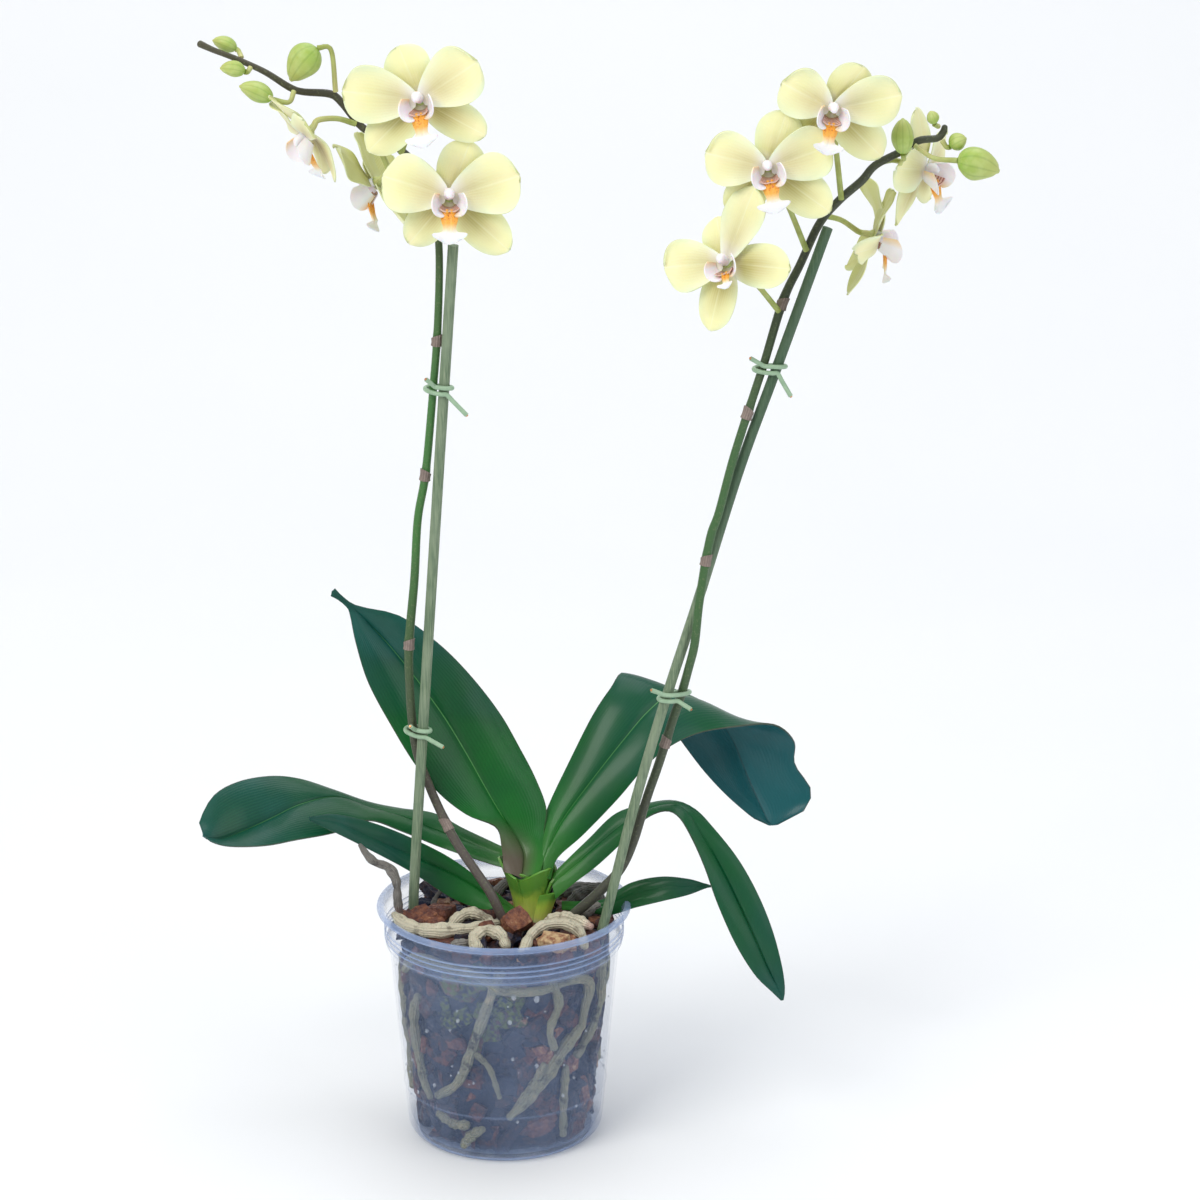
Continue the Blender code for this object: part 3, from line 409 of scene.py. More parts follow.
def tube(rows, sides, section=None, tone=0.5):
    """A section carried along the path, square to it: radius × section(angle, share of the length).
    Its sideways direction stays square to the one direction in which the path turns least."""
    path, radius = rows[:, :3], rows[:, 3]
    tangent = unit(np.gradient(path, axis=0))
    least = np.linalg.svd(tangent)[2][-1]
    sideways = unit(np.cross(tangent, least))
    upright = np.cross(tangent, sideways)
    angle = np.linspace(0, FULL_TURN, sides, endpoint=False)[None, :]
    share = np.linspace(0, 1, len(rows))[:, None]
    reach = radius[:, None] * (np.ones((len(rows), sides)) if section is None else section(angle, share))
    ring = np.cos(angle)[..., None] * sideways[:, None] + np.sin(angle)[..., None] * upright[:, None]
    return closed_tube(path[:, None] + reach[..., None] * ring, path[0], path[-1], tone)


def rounded(rows, blunt=0.8):
    """The rows with four more at each end, whose radius closes as a quarter circle."""
    turn = np.linspace(0.1, math.pi / 2, 4, endpoint=False)[:, None]
    tangent = unit(np.gradient(rows[:, :3], axis=0))
    first, last = rows[0], rows[-1]
    start = np.hstack([first[:3] - tangent[0] * first[3] * blunt * np.cos(turn), first[3] * np.sin(turn)])
    end = np.hstack([last[:3] + tangent[-1] * last[3] * blunt * np.cos(turn), last[3] * np.sin(turn)])
    return np.vstack([start, rows, end[::-1]])


def turned(profile, segments, tone=0.5):
    """A closed profile of radius and height, from axis to axis, spun round +Z."""
    profile = np.asarray(profile, float)
    angle = np.linspace(0, FULL_TURN, segments, endpoint=False)[None, :]
    radius, height = profile[1:-1, :1], profile[1:-1, 1:]
    grid = np.stack([radius * np.cos(angle), radius * np.sin(angle), height + 0 * angle], axis=-1)
    return closed_tube(grid, (0, 0, profile[0, 1]), (0, 0, profile[-1, 1]), tone)


def ball(middle, radii, tone=0.5, rings=10, sides=16):
    """An ellipsoid: rings at equal angles from pole to pole, along local +Z."""
    fall = np.linspace(math.pi, 0, rings + 2)[1:-1][:, None]
    angle = np.linspace(0, FULL_TURN, sides, endpoint=False)[None, :]
    grid = np.stack([np.sin(fall) * np.cos(angle), np.sin(fall) * np.sin(angle), np.cos(fall) + 0 * angle],
                    axis=-1) * radii + middle
    low = np.array(middle) - (0, 0, radii[2])
    high = np.array(middle) + (0, 0, radii[2])
    return closed_tube(grid, low, high, tone)


def placed(made, rotation, middle):
    """The part turned by a 3 × 3 matrix and moved to its middle."""
    return {**made, "points": made["points"] @ np.asarray(rotation).T + middle}


def piece(name, parts, materials, nodes=(), crease=50):
    """One object from (part, material number) pairs. It rides on the only body, at the origin."""
    counts = [len(made["points"]) for made, _ in parts]
    offsets = np.concatenate([[0], np.cumsum(counts)])
    faces = [[corner + offset for corner in face]
             for (made, _), offset in zip(parts, offsets) for face in made["faces"]]
    mesh = bpy.data.meshes.new(name)
    mesh.from_pydata(np.vstack([made["points"] for made, _ in parts]) * MM, [], faces)
    for material in materials:
        mesh.materials.append(material)
    numbers = np.concatenate([np.full(len(made["faces"]), number) for made, number in parts])
    mesh.polygons.foreach_set("material_index", numbers.astype(np.int32))
    corner = np.empty(len(mesh.loops), np.int32)
    mesh.loops.foreach_get("vertex_index", corner)
    uv = np.vstack([made["uv"] for made, _ in parts])
    mesh.uv_layers.new(name="UVMap").data.foreach_set("uv", uv[corner].ravel())
    for mark in ("side", "tone"):
        values = np.concatenate([made[mark] for made, _ in parts]).astype(np.float32)
        mesh.attributes.new(mark, "FLOAT", "POINT").data.foreach_set("value", values)
    mesh.shade_smooth()
    mesh.set_sharp_from_angle(angle=math.radians(crease))
    obj = bpy.data.objects.new(name, mesh)
    bpy.context.scene.collection.objects.link(obj)
    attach(obj, "root")
    if nodes:
        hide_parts(*nodes)
    return obj


# ---- Materials ----


def colour(code):
    """Linear red, green, blue and alpha 1 from an sRGB hex colour."""
    channels = [int(code[i:i + 2], 16) / 255 for i in (0, 2, 4)]
    return tuple(c / 12.92 if c <= 0.04045 else ((c + 0.055) / 1.055) ** 2.4 for c in channels) + (1.0,)


def add(tree, kind, inputs=None, stops=None, **settings):
    """Adds a node. inputs holds a value or a socket for each input, and stops a ramp's places and colours."""
    made = tree.nodes.new(kind)
    for name, value in settings.items():
        setattr(made, name, value)
    for key, value in (inputs or {}).items():
        if isinstance(value, bpy.types.NodeSocket):
            tree.links.new(value, made.inputs[key])
        else:
            made.inputs[key].default_value = value
    if stops:
        elements = made.color_ramp.elements
        for place, shade in stops[2:]:
            elements.new(place)
        for element, (place, shade) in zip(elements, stops):
            element.position = place
        for element, (place, shade) in zip(elements, stops):
            element.color = colour(shade) if isinstance(shade, str) else (shade, shade, shade, 1)
    return made


def new_material(name, roughness, ior=1.45, **constants):
    """A Principled material and its tree. The constants are named as the shader's own inputs are."""
    material = bpy.data.materials.new(name)
    material.use_nodes = True
    tree = material.node_tree
    shader = tree.nodes["Principled BSDF"]
    shader.inputs["Roughness"].default_value = roughness
    shader.inputs["IOR"].default_value = ior
    for key, value in constants.items():
        shader.inputs[key.replace("_", " ")].default_value = value
    return material, tree, shader


def noise(tree, scale, detail=3.0, roughness=0.55, vector=None):
    """Noise over Object coordinates, or over the vector given; scale is in features to the metre."""
    vector = vector or add(tree, "ShaderNodeTexCoord").outputs["Object"]
    return add(tree, "ShaderNodeTexNoise", {"Vector": vector, "Scale": scale, "Detail": detail,
                                            "Roughness": roughness}).outputs["Fac"]


def maths(tree, operation, first, second=0.0):
    return add(tree, "ShaderNodeMath", {0: first, 1: second}, operation=operation).outputs[0]


def ranged(tree, value, start, end, low=0.0, high=1.0):
    """The value carried from the range start to end onto low to high, and kept inside it."""
    return add(tree, "ShaderNodeMapRange", {0: value, 1: start, 2: end, 3: low, 4: high}).outputs[0]


def ramp(tree, value, stops):
    """The colour at that value between the stops."""
    return add(tree, "ShaderNodeValToRGB", {0: value}, stops).outputs[0]


def blended(tree, share, first, second):
    return add(tree, "ShaderNodeMix", {0: share, 6: first, 7: second}, data_type="RGBA").outputs[2]


def mark(tree, name):
    """One of the two values that every point carries, side or tone."""
    return add(tree, "ShaderNodeAttribute", attribute_name=name).outputs["Fac"]


def across_and_along(tree):
    parts = add(tree, "ShaderNodeSeparateXYZ", {0: add(tree, "ShaderNodeUVMap", uv_map="UVMap").outputs[0]})
    return parts.outputs[0], parts.outputs[1]


def bump(tree, shader, height, depth_mm, strength=1.0):
    made = add(tree, "ShaderNodeBump", {"Height": height, "Distance": depth_mm * MM, "Strength": strength})
    tree.links.new(made.outputs[0], shader.inputs["Normal"])


def tepal_material(name, inner, base, body, rim, back):
    """Living petal tissue, grown: thin waxy cells over fine veins. The eye gets a soft cream body, white
    and pink at the column, painted olive shade in the crease, greenish white at the rim and olive behind."""
    material, tree, shader = new_material(name, 0.5, 1.4, Subsurface_Weight=0.18, Subsurface_Scale=0.003,
                                          Sheen_Weight=0.06, Sheen_Roughness=0.5)
    shader.inputs["Subsurface Radius"].default_value = (1.0, 0.9, 0.5)
    across, along = across_and_along(tree)
    length = ramp(tree, along, [(0.06, inner), (0.2, base), (0.46, body), (0.84, body), (1.0, rim)])
    off_middle = maths(tree, "MULTIPLY", maths(tree, "ABSOLUTE", maths(tree, "SUBTRACT", across, 0.5)), 2.0)
    warm = ranged(tree, noise(tree, 55, 2), 0.42, 0.62, 0.0, 0.45)
    middle = ranged(tree, off_middle, 0.2, 0.8, 1.0, 0.0)
    face = blended(tree, maths(tree, "MULTIPLY", warm, middle), length, colour("F9E9BE"))
    edge = maths(tree, "POWER", off_middle, 2.6)
    patchy = ranged(tree, noise(tree, 90, 2), 0.35, 0.7, 0.35, 1.0)
    face = blended(tree, maths(tree, "MULTIPLY", edge, patchy), face, colour(rim))
    # The lateral sepals, whose tone is high, get painted olive shade along their crease near the foot.
    crease = maths(tree, "MULTIPLY", ranged(tree, off_middle, 0.9, 0.2), ranged(tree, along, 0.66, 0.26))
    low = maths(tree, "MULTIPLY", crease, ranged(tree, mark(tree, "tone"), 0.2, 0.9))
    face = blended(tree, low, face, colour("A0944A"))
    midrib = maths(tree, "MULTIPLY", ranged(tree, off_middle, 0.06, 0.0), maths(tree, "MULTIPLY", along, 0.6))
    face = blended(tree, midrib, face, colour("F7F8DC"))
    # Veins fan out from the foot, about 1.5 mm apart at the widest place.
    waver = maths(tree, "MULTIPLY", noise(tree, 60, 2), 2.5)
    veins = maths(tree, "SINE", maths(tree, "ADD", maths(tree, "MULTIPLY", across, 110.0), waver))
    pale = ranged(tree, veins, -1.0, 1.0, 0.0, 0.12)
    face = blended(tree, pale, face, colour(rim))
    behind = blended(tree, pale, colour(back), colour(rim))
    skin = blended(tree, maths(tree, "MULTIPLY", mark(tree, "side"), 0.8), face, behind)
    tree.links.new(skin, shader.inputs["Base Color"])
    bump(tree, shader, maths(tree, "ADD", maths(tree, "MULTIPLY", veins, 0.12), noise(tree, 900, 2)), 0.12)
    return material


def lip_blade_material():
    """The lip's middle lobe: fleshy and waxy, orange with rust freckles, and white on its crescent."""
    material, tree, shader = new_material("lip_blade_fleshy", 0.42, 1.42, Subsurface_Weight=0.2,
                                          Subsurface_Scale=0.003)
    _, along = across_and_along(tree)
    wavy = maths(tree, "ADD", along, maths(tree, "MULTIPLY", noise(tree, 500, 2), 0.08))
    shade = ramp(tree, wavy, [(0.0, "F7C382"), (0.16, "F5A22C"), (0.42, "F7B552"), (0.58, "F9DDB2"),
                              (0.7, "F5F0EC"), (1.0, "EEEFF3")])
    freckle = ranged(tree, noise(tree, 1300, 1), 0.56, 0.64)
    low = ranged(tree, along, 0.1, 0.5, 0.85, 0.0)
    skin = blended(tree, maths(tree, "MULTIPLY", freckle, low), shade, colour("B4552A"))
    tree.links.new(skin, shader.inputs["Base Color"])
    bump(tree, shader, noise(tree, 1200, 2), 0.15)
    return material


def lip_lobe_material():
    """The lip's side lobes and the column: white waxy flesh that warms to yellow at its foot."""
    material, tree, shader = new_material("lip_lobe_fleshy", 0.4, 1.42, Subsurface_Weight=0.25,
                                          Subsurface_Scale=0.003)
    across, _ = across_and_along(tree)
    foot = ranged(tree, across, 0.0, 0.3, 0.75, 0.0)
    warm = maths(tree, "MULTIPLY", foot, ranged(tree, mark(tree, "tone"), 0.6, 0.9))
    white = blended(tree, noise(tree, 260, 2), colour("F6F3F4"), colour("EEE8EF"))
    tree.links.new(blended(tree, warm, white, colour("F6CF86")), shader.inputs["Base Color"])
    bump(tree, shader, noise(tree, 1500, 2), 0.1)
    return material


def throat_material():
    """The lip's throat: moist flesh with rows of rose-brown dashes over cream."""
    material, tree, shader = new_material("lip_throat_striped", 0.35, 1.42, Subsurface_Weight=0.15,
                                          Subsurface_Scale=0.002)
    _, along = across_and_along(tree)
    bars = maths(tree, "SINE", maths(tree, "ADD", maths(tree, "MULTIPLY", along, 34.0),
                                     maths(tree, "MULTIPLY", noise(tree, 800, 2), 4.0)))
    barred = ranged(tree, bars, -0.2, 0.5)
    skin = blended(tree, barred, colour("D9B7A6"), colour("9C5F55"))
    deep = ranged(tree, along, 0.0, 0.5, 0.7, 0.0)
    tree.links.new(blended(tree, deep, skin, colour("7A5A2E")), shader.inputs["Base Color"])
    return material


def leaf_material():
    """A thick evergreen leaf, grown: waxy cuticle over parallel veins. The eye gets a satin gloss over green
    that turns blue towards the tip and in broad patches of painted bluish sheen, a paler midrib and foot,
    a brownish rim and a teal underside."""
    material, tree, shader = new_material("leaf_waxy_cuticle", 0.34, 1.4, Coat_Weight=0.22,
                                          Coat_Roughness=0.2, Specular_IOR_Level=0.28)
    across, along = across_and_along(tree)
    off_middle = maths(tree, "ABSOLUTE", maths(tree, "SUBTRACT", across, 0.5))
    sheen_and_tone_patches = noise(tree, 14, 3)
    # Broad noise patches push the green towards teal: painted bluish sheen, on top of the tip's own teal.
    place = maths(tree, "ADD", maths(tree, "MULTIPLY", along, 0.42), maths(tree, "MULTIPLY", sheen_and_tone_patches, 0.75))
    green = ramp(tree, place, [(0.2, "28801B"), (0.36, "10621E"), (0.54, "074D25"), (0.72, "0A473A"),
                               (0.9, "1A5C5C")])
    foot = ranged(tree, along, 0.0, 0.14, 0.45, 0.0)
    green = blended(tree, foot, green, colour("46802A"))
    brown = ranged(tree, along, 0.05, 0.2, 0.95, 0.0)
    brown = maths(tree, "MULTIPLY", brown, ranged(tree, across, 0.85, 0.4))
    brown = maths(tree, "MULTIPLY", brown, mark(tree, "tone"))
    green = blended(tree, brown, green, colour("574740"))
    streaks = maths(tree, "SINE", maths(tree, "ADD", maths(tree, "MULTIPLY", across, 210.0),
                                        maths(tree, "MULTIPLY", noise(tree, 45, 2), 6.0)))
    veined = ranged(tree, streaks, -1.0, 1.0, 0.0, 0.06)
    green = blended(tree, veined, green, colour("34853C"))
    rib = ranged(tree, off_middle, 0.002, 0.011, 0.6, 0.0)
    green = blended(tree, rib, green, colour("6FAE6A"))
    under = blended(tree, sheen_and_tone_patches, colour("0C454C"), colour("1B6468"))
    under = blended(tree, rib, under, colour("17393C"))
    skin = blended(tree, mark(tree, "side"), green, under)
    rim = ranged(tree, off_middle, 0.488, 0.499, 0.0, 0.6)
    tree.links.new(blended(tree, rim, skin, colour("4E4A38")), shader.inputs["Base Color"])
    rough = ranged(tree, noise(tree, 30, 2), 0.3, 0.7, 0.28, 0.42)
    tree.links.new(rough, shader.inputs["Roughness"])
    bump(tree, shader, maths(tree, "ADD", maths(tree, "MULTIPLY", streaks, 0.12), noise(tree, 120, 3)), 0.22)
    return material


def sheath_material():
    """Leaf sheaths round the crown: smooth and fleshy, cream at the foot, lime above, green at the top."""
    material, tree, shader = new_material("sheath_fleshy", 0.36, 1.45, Coat_Weight=0.2, Coat_Roughness=0.3,
                                          Subsurface_Weight=0.15, Subsurface_Scale=0.003)
    across, along = across_and_along(tree)
    wavy = maths(tree, "ADD", along, maths(tree, "MULTIPLY", noise(tree, 90, 3), 0.3))
    wavy = maths(tree, "ADD", wavy, maths(tree, "MULTIPLY", mark(tree, "tone"), 0.8))
    lime = ramp(tree, wavy, [(0.1, "CFCB96"), (0.32, "C3CC66"), (0.75, "A9C24A"), (1.0, "5E9436")])
    fine = maths(tree, "SINE", maths(tree, "MULTIPLY", across, 90.0))
    lines = ranged(tree, fine, -1.0, 1.0, 0.0, 0.08)
    tree.links.new(blended(tree, lines, lime, colour("4F8A2C")), shader.inputs["Base Color"])
    bump(tree, shader, noise(tree, 500, 3), 0.15)
    return material


def spike_material():
    """The flower spike's stem: firm and smooth, brown-purple over green where the light has tanned it."""
    material, tree, shader = new_material("spike_stem_firm", 0.45, 1.45)
    _, along = across_and_along(tree)
    wavy = maths(tree, "ADD", along, maths(tree, "MULTIPLY", noise(tree, 40, 3), 0.12))
    wavy = maths(tree, "SUBTRACT", wavy, 0.06)
    shade = ramp(tree, wavy, [(0.0, "5C5350"), (0.18, "4A463C"), (0.3, "3F5A34"), (0.42, "3E7335"),
                              (0.56, "41743A"), (0.68, "455A34"), (0.8, "44433A"), (1.0, "4D4A38")])
    fleck = ranged(tree, noise(tree, 900, 2), 0.58, 0.66, 0.0, 0.4)
    shade = blended(tree, maths(tree, "MULTIPLY", mark(tree, "tone"), 0.45), shade, colour("3C4A38"))
    tree.links.new(blended(tree, fleck, shade, colour("6E7A55")), shader.inputs["Base Color"])
    bump(tree, shader, noise(tree, 700, 3), 0.15)
    return material


def bract_material():
    """Dry bracts: papery scales, grey-brown with darker lines."""
    material, tree, shader = new_material("bract_papery", 0.75)
    across, _ = across_and_along(tree)
    lines = maths(tree, "SINE", maths(tree, "MULTIPLY", across, 70.0))
    shade = blended(tree, noise(tree, 500, 3), colour("6F605B"), colour("A3948A"))
    darker = ranged(tree, lines, 0.0, 1.0, 0.0, 0.35)
    tree.links.new(blended(tree, darker, shade, colour("54463F")), shader.inputs["Base Color"])
    bump(tree, shader, lines, 0.1)
    return material


def green_stalk_material(name, foot, top):
    """Flower stalks and buds: young green tissue, smooth and faintly ribbed."""
    material, tree, shader = new_material(name, 0.42, 1.42, Subsurface_Weight=0.1, Subsurface_Scale=0.003)
    across, along = across_and_along(tree)
    shade = blended(tree, along, colour(foot), colour(top))
    mottled = ranged(tree, noise(tree, 220, 3), 0.4, 0.65, 0.0, 0.5)
    shade = blended(tree, mottled, shade, colour("C2CF86"))
    ribs = maths(tree, "SINE", maths(tree, "MULTIPLY", across, 30.0))
    dark = ranged(tree, ribs, 0.6, 1.0, 0.0, 0.22)
    tree.links.new(blended(tree, dark, shade, colour("4F7A2C")), shader.inputs["Base Color"])
    bump(tree, shader, noise(tree, 600, 2), 0.1)
    return material


def root_material(name, pale, dark, warm):
    """Velamen, the dry spongy skin of an air root: grey-white, mottled, with fine lengthwise creases."""
    material, tree, shader = new_material(name, 0.72, Subsurface_Weight=0.05, Subsurface_Scale=0.002)
    across, along = across_and_along(tree)
    tones = ramp(tree, noise(tree, 110, 5, 0.7), [(0.34, dark), (0.46, pale), (0.58, pale), (0.7, warm)])
    specks = ranged(tree, noise(tree, 900, 2), 0.6, 0.68, 0.0, 0.5)
    skin = blended(tree, specks, tones, colour(dark))
    young = ranged(tree, mark(tree, "tone"), 0.6, 1.0)
    tip = maths(tree, "MULTIPLY", young, ranged(tree, along, 0.8, 0.98))
    tree.links.new(blended(tree, tip, skin, colour("B98A84")), shader.inputs["Base Color"])
    creases = maths(tree, "SINE", maths(tree, "ADD", maths(tree, "MULTIPLY", across, 40.0),
                                        maths(tree, "MULTIPLY", noise(tree, 120, 2), 8.0)))
    bump(tree, shader, maths(tree, "ADD", maths(tree, "MULTIPLY", creases, 0.3), noise(tree, 500, 4)), 0.5)
    return material


def bark_material():
    """Pine bark chips: broken, damp and layered, black-brown to rust, with tan broken faces."""
    material, tree, shader = new_material("bark_broken_pine", 0.7)
    rough = noise(tree, 300, 6, 0.75)
    mixed = maths(tree, "ADD", maths(tree, "MULTIPLY", mark(tree, "tone"), 0.68),
                  maths(tree, "MULTIPLY", maths(tree, "SUBTRACT", rough, 0.2), 0.95))
    # The two darkest stops are black-blue, painted shade among the chips; the core takes them most.
    shade = ramp(tree, mixed, [(0.24, "0A1532"), (0.4, "171E36"), (0.54, "33262A"), (0.7, "62382D"),
                               (0.86, "8C5B40"), (1.0, "C4A77E")])
    moss = maths(tree, "MULTIPLY", mark(tree, "side"), ranged(tree, noise(tree, 420, 4), 0.42, 0.56))
    tree.links.new(blended(tree, moss, shade, colour("566322")), shader.inputs["Base Color"])
    gloss = ranged(tree, noise(tree, 500, 2), 0.4, 0.65, 0.85, 0.35)
    tree.links.new(gloss, shader.inputs["Roughness"])
    bump(tree, shader, rough, 1.2)
    return material


def cane_material():
    """Split bamboo cane, dyed green and weathered: straight grain with grey wear."""
    material, tree, shader = new_material("cane_split_dyed", 0.62)
    spot = add(tree, "ShaderNodeTexCoord").outputs["Object"]
    grain = add(tree, "ShaderNodeMapping", {"Vector": spot, "Scale": (1.0, 1.0, 0.035)}).outputs[0]
    fibre = noise(tree, 1500, 4, 0.6, grain)
    shade = ramp(tree, fibre, [(0.3, "4E6450"), (0.48, "6B8064"), (0.6, "7E8F73"), (0.78, "98A389")])
    worn = ranged(tree, noise(tree, 50, 3), 0.4, 0.66, 0.0, 0.55)
    stained = ranged(tree, mark(tree, "tone"), 0.6, 1.0, 0.0, 0.75)
    shade = blended(tree, worn, shade, colour("8C9A82"))
    shade = blended(tree, stained, shade, colour("2F5238"))
    tree.links.new(shade, shader.inputs["Base Color"])
    bump(tree, shader, fibre, 0.35)
    return material


def tie_material():
    """Garden wire: moulded green plastic over copper."""
    material, tree, shader = new_material("tie_moulded_sleeve", 0.42, 1.5)
    shade = blended(tree, noise(tree, 400, 3), colour("7FA083"), colour("A9C3A4"))
    tree.links.new(shade, shader.inputs["Base Color"])
    bump(tree, shader, noise(tree, 1500, 2), 0.05)
    return material


def copper_material():
    """The wire's cut end: bare copper, freshly sheared."""
    material, tree, shader = new_material("copper_sheared", 0.3, Metallic=1.0)
    tree.links.new(blended(tree, noise(tree, 2500, 2), colour("C97F52"), colour("E0A172")),
                   shader.inputs["Base Color"])
    return material


def pot_material():
    """Clear polypropylene, injection moulded: milky, bluish and faintly cloudy, denser where it is thick."""
    material, tree, shader = new_material("pot_moulded_polypropylene", 0.22, 1.49)
    cloud = noise(tree, 22, 3)
    shade = blended(tree, cloud, colour("809BCB"), colour("AFC1E1"))
    tree.links.new(shade, shader.inputs["Base Color"])
    thick = mark(tree, "tone")
    haze = ranged(tree, cloud, 0.3, 0.7, -0.03, 0.05)
    tree.links.new(maths(tree, "ADD", thick, haze), shader.inputs["Alpha"])
    scuffs = ranged(tree, noise(tree, 300, 4), 0.4, 0.7, 0.16, 0.36)
    tree.links.new(scuffs, shader.inputs["Roughness"])
    bump(tree, shader, noise(tree, 60, 2), 0.15)
    return material


def drop_material():
    """Condensed water: clear beads on the inside of the wall."""
    material, tree, shader = new_material("water_beads", 0.03, 1.33)
    tree.links.new(blended(tree, noise(tree, 300, 1), colour("DCE8F4"), colour("F4F8FC")),
                   shader.inputs["Base Color"])
    shader.inputs["Alpha"].default_value = 0.22
    return material


# ---- Flowers ----


def flower_frame(looks, roll):
    """The columns are the flower's right, top and forward directions."""
    forward = unit(np.array(looks, float))
    top = unit(np.array((0, 0, 1.0)) - forward * forward[2])
    right = np.cross(top, forward)
    turn = math.radians(roll)
    top = top * math.cos(turn) - right * math.sin(turn)
    return np.stack([np.cross(top, forward), top, forward], axis=1)


def tepal(angle, length, half_width, swing, cup, waves, broad, lobed=0.0, rows=26, columns=21):
    """A petal or sepal that leaves the middle at the angle; u runs along it from 0 to 1, and v across it
    from -1 to 1. Its half width is (u + 0.05)^a · sqrt(1 - u^b), scaled to peak at half_width. Its height
    is cup · v² · width - swing · length · u², with a shallow crease down the middle near the foot and low
    waves near the rim. The sides of its tip are drawn back by lobed · length · v² · u³."""
    turn = math.radians(angle)
    along = np.array([math.cos(turn), math.sin(turn), 0])
    across = np.array([math.sin(turn), -math.cos(turn), 0])
    u = (0.997 * np.sin(np.linspace(0, math.pi / 2, rows)) ** 1.15)[:, None]
    v = np.linspace(-1, 1, columns)[None, :]
    foot, tip = broad
    width = (u + 0.05) ** foot * np.sqrt(1 - u ** tip)
    width = half_width * width / width.max()
    amount, phase, count = waves
    ripple = amount * np.abs(v) ** 2.5 * np.sin(phase + count * u + 1.3 * v) * ease(u, 0.1, 0.6)
    height = (cup * v ** 2 * width - swing * length * u ** 2 - 0.5 * bell(v, 0, 0.16) * ease(u, 0.0, 0.2)
              * (1 - 0.6 * u) + ripple)
    reach = 1.2 + (length - 1.2) * u - lobed * length * v ** 2 * u ** 3
    sideways = v * width
    return (reach[..., None] * along + sideways[..., None] * across
            + height[..., None] * np.array([0, 0, 1.0]))


def side_lobe(hand):
    """One erect lobe of the lip: part of a cone round the throat. Its angle a runs from near the bottom
    up to the side, its radius grows with depth, and its front edge is a rounded arch in a."""
    a = np.linspace(math.radians(18), math.radians(118), 16)[None, :]
    depth = np.linspace(0, 1, 12)[:, None]
    arch = 3.0 + 6.2 * np.sin(np.pi * (0.12 + 0.8 * (a - a.min()) / np.ptp(a))) ** 0.7
    out = 2.0 + depth * arch
    radius = 4.6 + 0.42 * (out - 2.0) + 0.6 * depth ** 2 * np.sin(3 * a)
    grid = np.stack([hand * radius * np.sin(a), -radius * np.cos(a) - 0.6, out + 0 * a], axis=-1)
    return grid if hand > 0 else grid[:, ::-1]


def throat():
    """The floor between the side lobes: a shallow trough whose radius grows from 4.2 to 5.8 mm with depth,
    with a low ridge down its middle."""
    a = np.linspace(math.radians(-48), math.radians(48), 13)[None, :]
    depth = np.linspace(0, 1, 10)[:, None]
    radius = 4.2 + 1.6 * depth - 0.7 * bell(a, 0, 0.3) * depth
    return np.stack([radius * np.sin(a), -radius * np.cos(a) - 0.4, 1.4 + 6.6 * depth + 0 * a], axis=-1)


def lip_blade(swell, reach=1.0):
    """The middle lobe. Its half width follows a smooth curve through orange shoulders, a narrow neck and
    a crescent whose horns lift with v²."""
    stations = np.array([(0.0, 3.0), (0.14, 3.5), (0.3, 3.3), (0.44, 2.7), (0.56, 2.6), (0.66, 3.6),
                         (0.75, 5.9), (0.83, 7.2), (0.9, 6.9), (0.96, 5.6), (1.0, 3.6)])
    t = np.linspace(0, 1, 40)[:, None]
    curve = smooth_path(stations, 12)
    width = np.interp(t, curve[:, 0], curve[:, 1]) * swell
    v = np.linspace(-1, 1, 15)[None, :]
    tip = ease(t, 0.62, 0.86)
    down = 5.4 + reach * (14.4 * t - 2.6 * tip * v ** 2)
    out = (7.0 + 3.8 * np.sin(math.pi * 0.55 * t) + 1.4 * tip * v ** 2 - 0.7 * bell(v, 0, 0.25) * (1 - tip)
           - 1.3 * (1 - tip) * v ** 2)
    # Across runs from right to left, so that the face looks out of the flower.
    return np.stack([-v * width, -down, out], axis=-1)


def tepal_sheets(name, number):
    """The five tepals as grids in the flower's frame, dorsal first."""
    phase = np.random.default_rng(100 + number).uniform(0, FULL_TURN, 5)
    grids = []
    for i, (angle, length, half, swing) in enumerate(TEPALS[name]):
        if i in (1, 2):
            grid = tepal(angle, length, half, swing, 0.08, (2.2, phase[i], 6.0), (0.6, 3.4), 0.03)
            grids.append(grid + (0, 0, 1.1))
        else:
            broad = (0.42, 2.5) if i == 0 else (0.5, 1.7)
            grid = tepal(angle, length, half, swing, -0.16, (1.4, phase[i], 5.0), broad, 0.02)
            grids.append(grid - (0, 0, 1.4))
    return grids


def flower_parts(name, number, lip_size):
    """The flower's own parts in its frame at rest: sepals, petals with the column, and lip."""
    grids = tepal_sheets(name, number)
    sepals = [sheet(grids[i], TEPAL_THICKNESS, 0.3 if i == 0 else 0.7) for i in (0, 3, 4)]
    petals = [sheet(grids[i], TEPAL_THICKNESS) for i in (1, 2)]
    column = rounded(even_path([(0, 0.8, 0.2, 2.4), (0, 1.4, 2.6, 2.4), (0, 2.0, 4.6, 2.4),
                                (0, 1.9, 6.0, 2.1), (0, 1.2, 7.2, 1.5)], 14))
    hub = ball((0, 0, -2.2), (3.0, 3.0, 2.4))
    beads = [ball((x, -5.8, 7.2), (0.9, 1.2, 0.9), rings=6, sides=10) for x in (-1.0, 1.0)]
    beads = [{**bead, "uv": np.full_like(bead["uv"], 0.2)} for bead in beads]
    wide = np.eye(3) * max(lip_size, 1.0)
    swell = np.random.default_rng(200 + number).uniform(0.94, 1.06)
    blade = sheet(lip_blade(swell * lip_size, lip_size), LIP_THICKNESS)
    return {"sepals": sepals, "hub": [hub], "petals": petals, "column": [tube(column, 18, tone=0.3)],
            "lobes": [placed(sheet(side_lobe(hand), LIP_THICKNESS, 0.9), wide, 0) for hand in (1, -1)],
            "throat": [placed(sheet(throat(), LIP_THICKNESS), wide, 0)], "blade": [blade, *beads]}


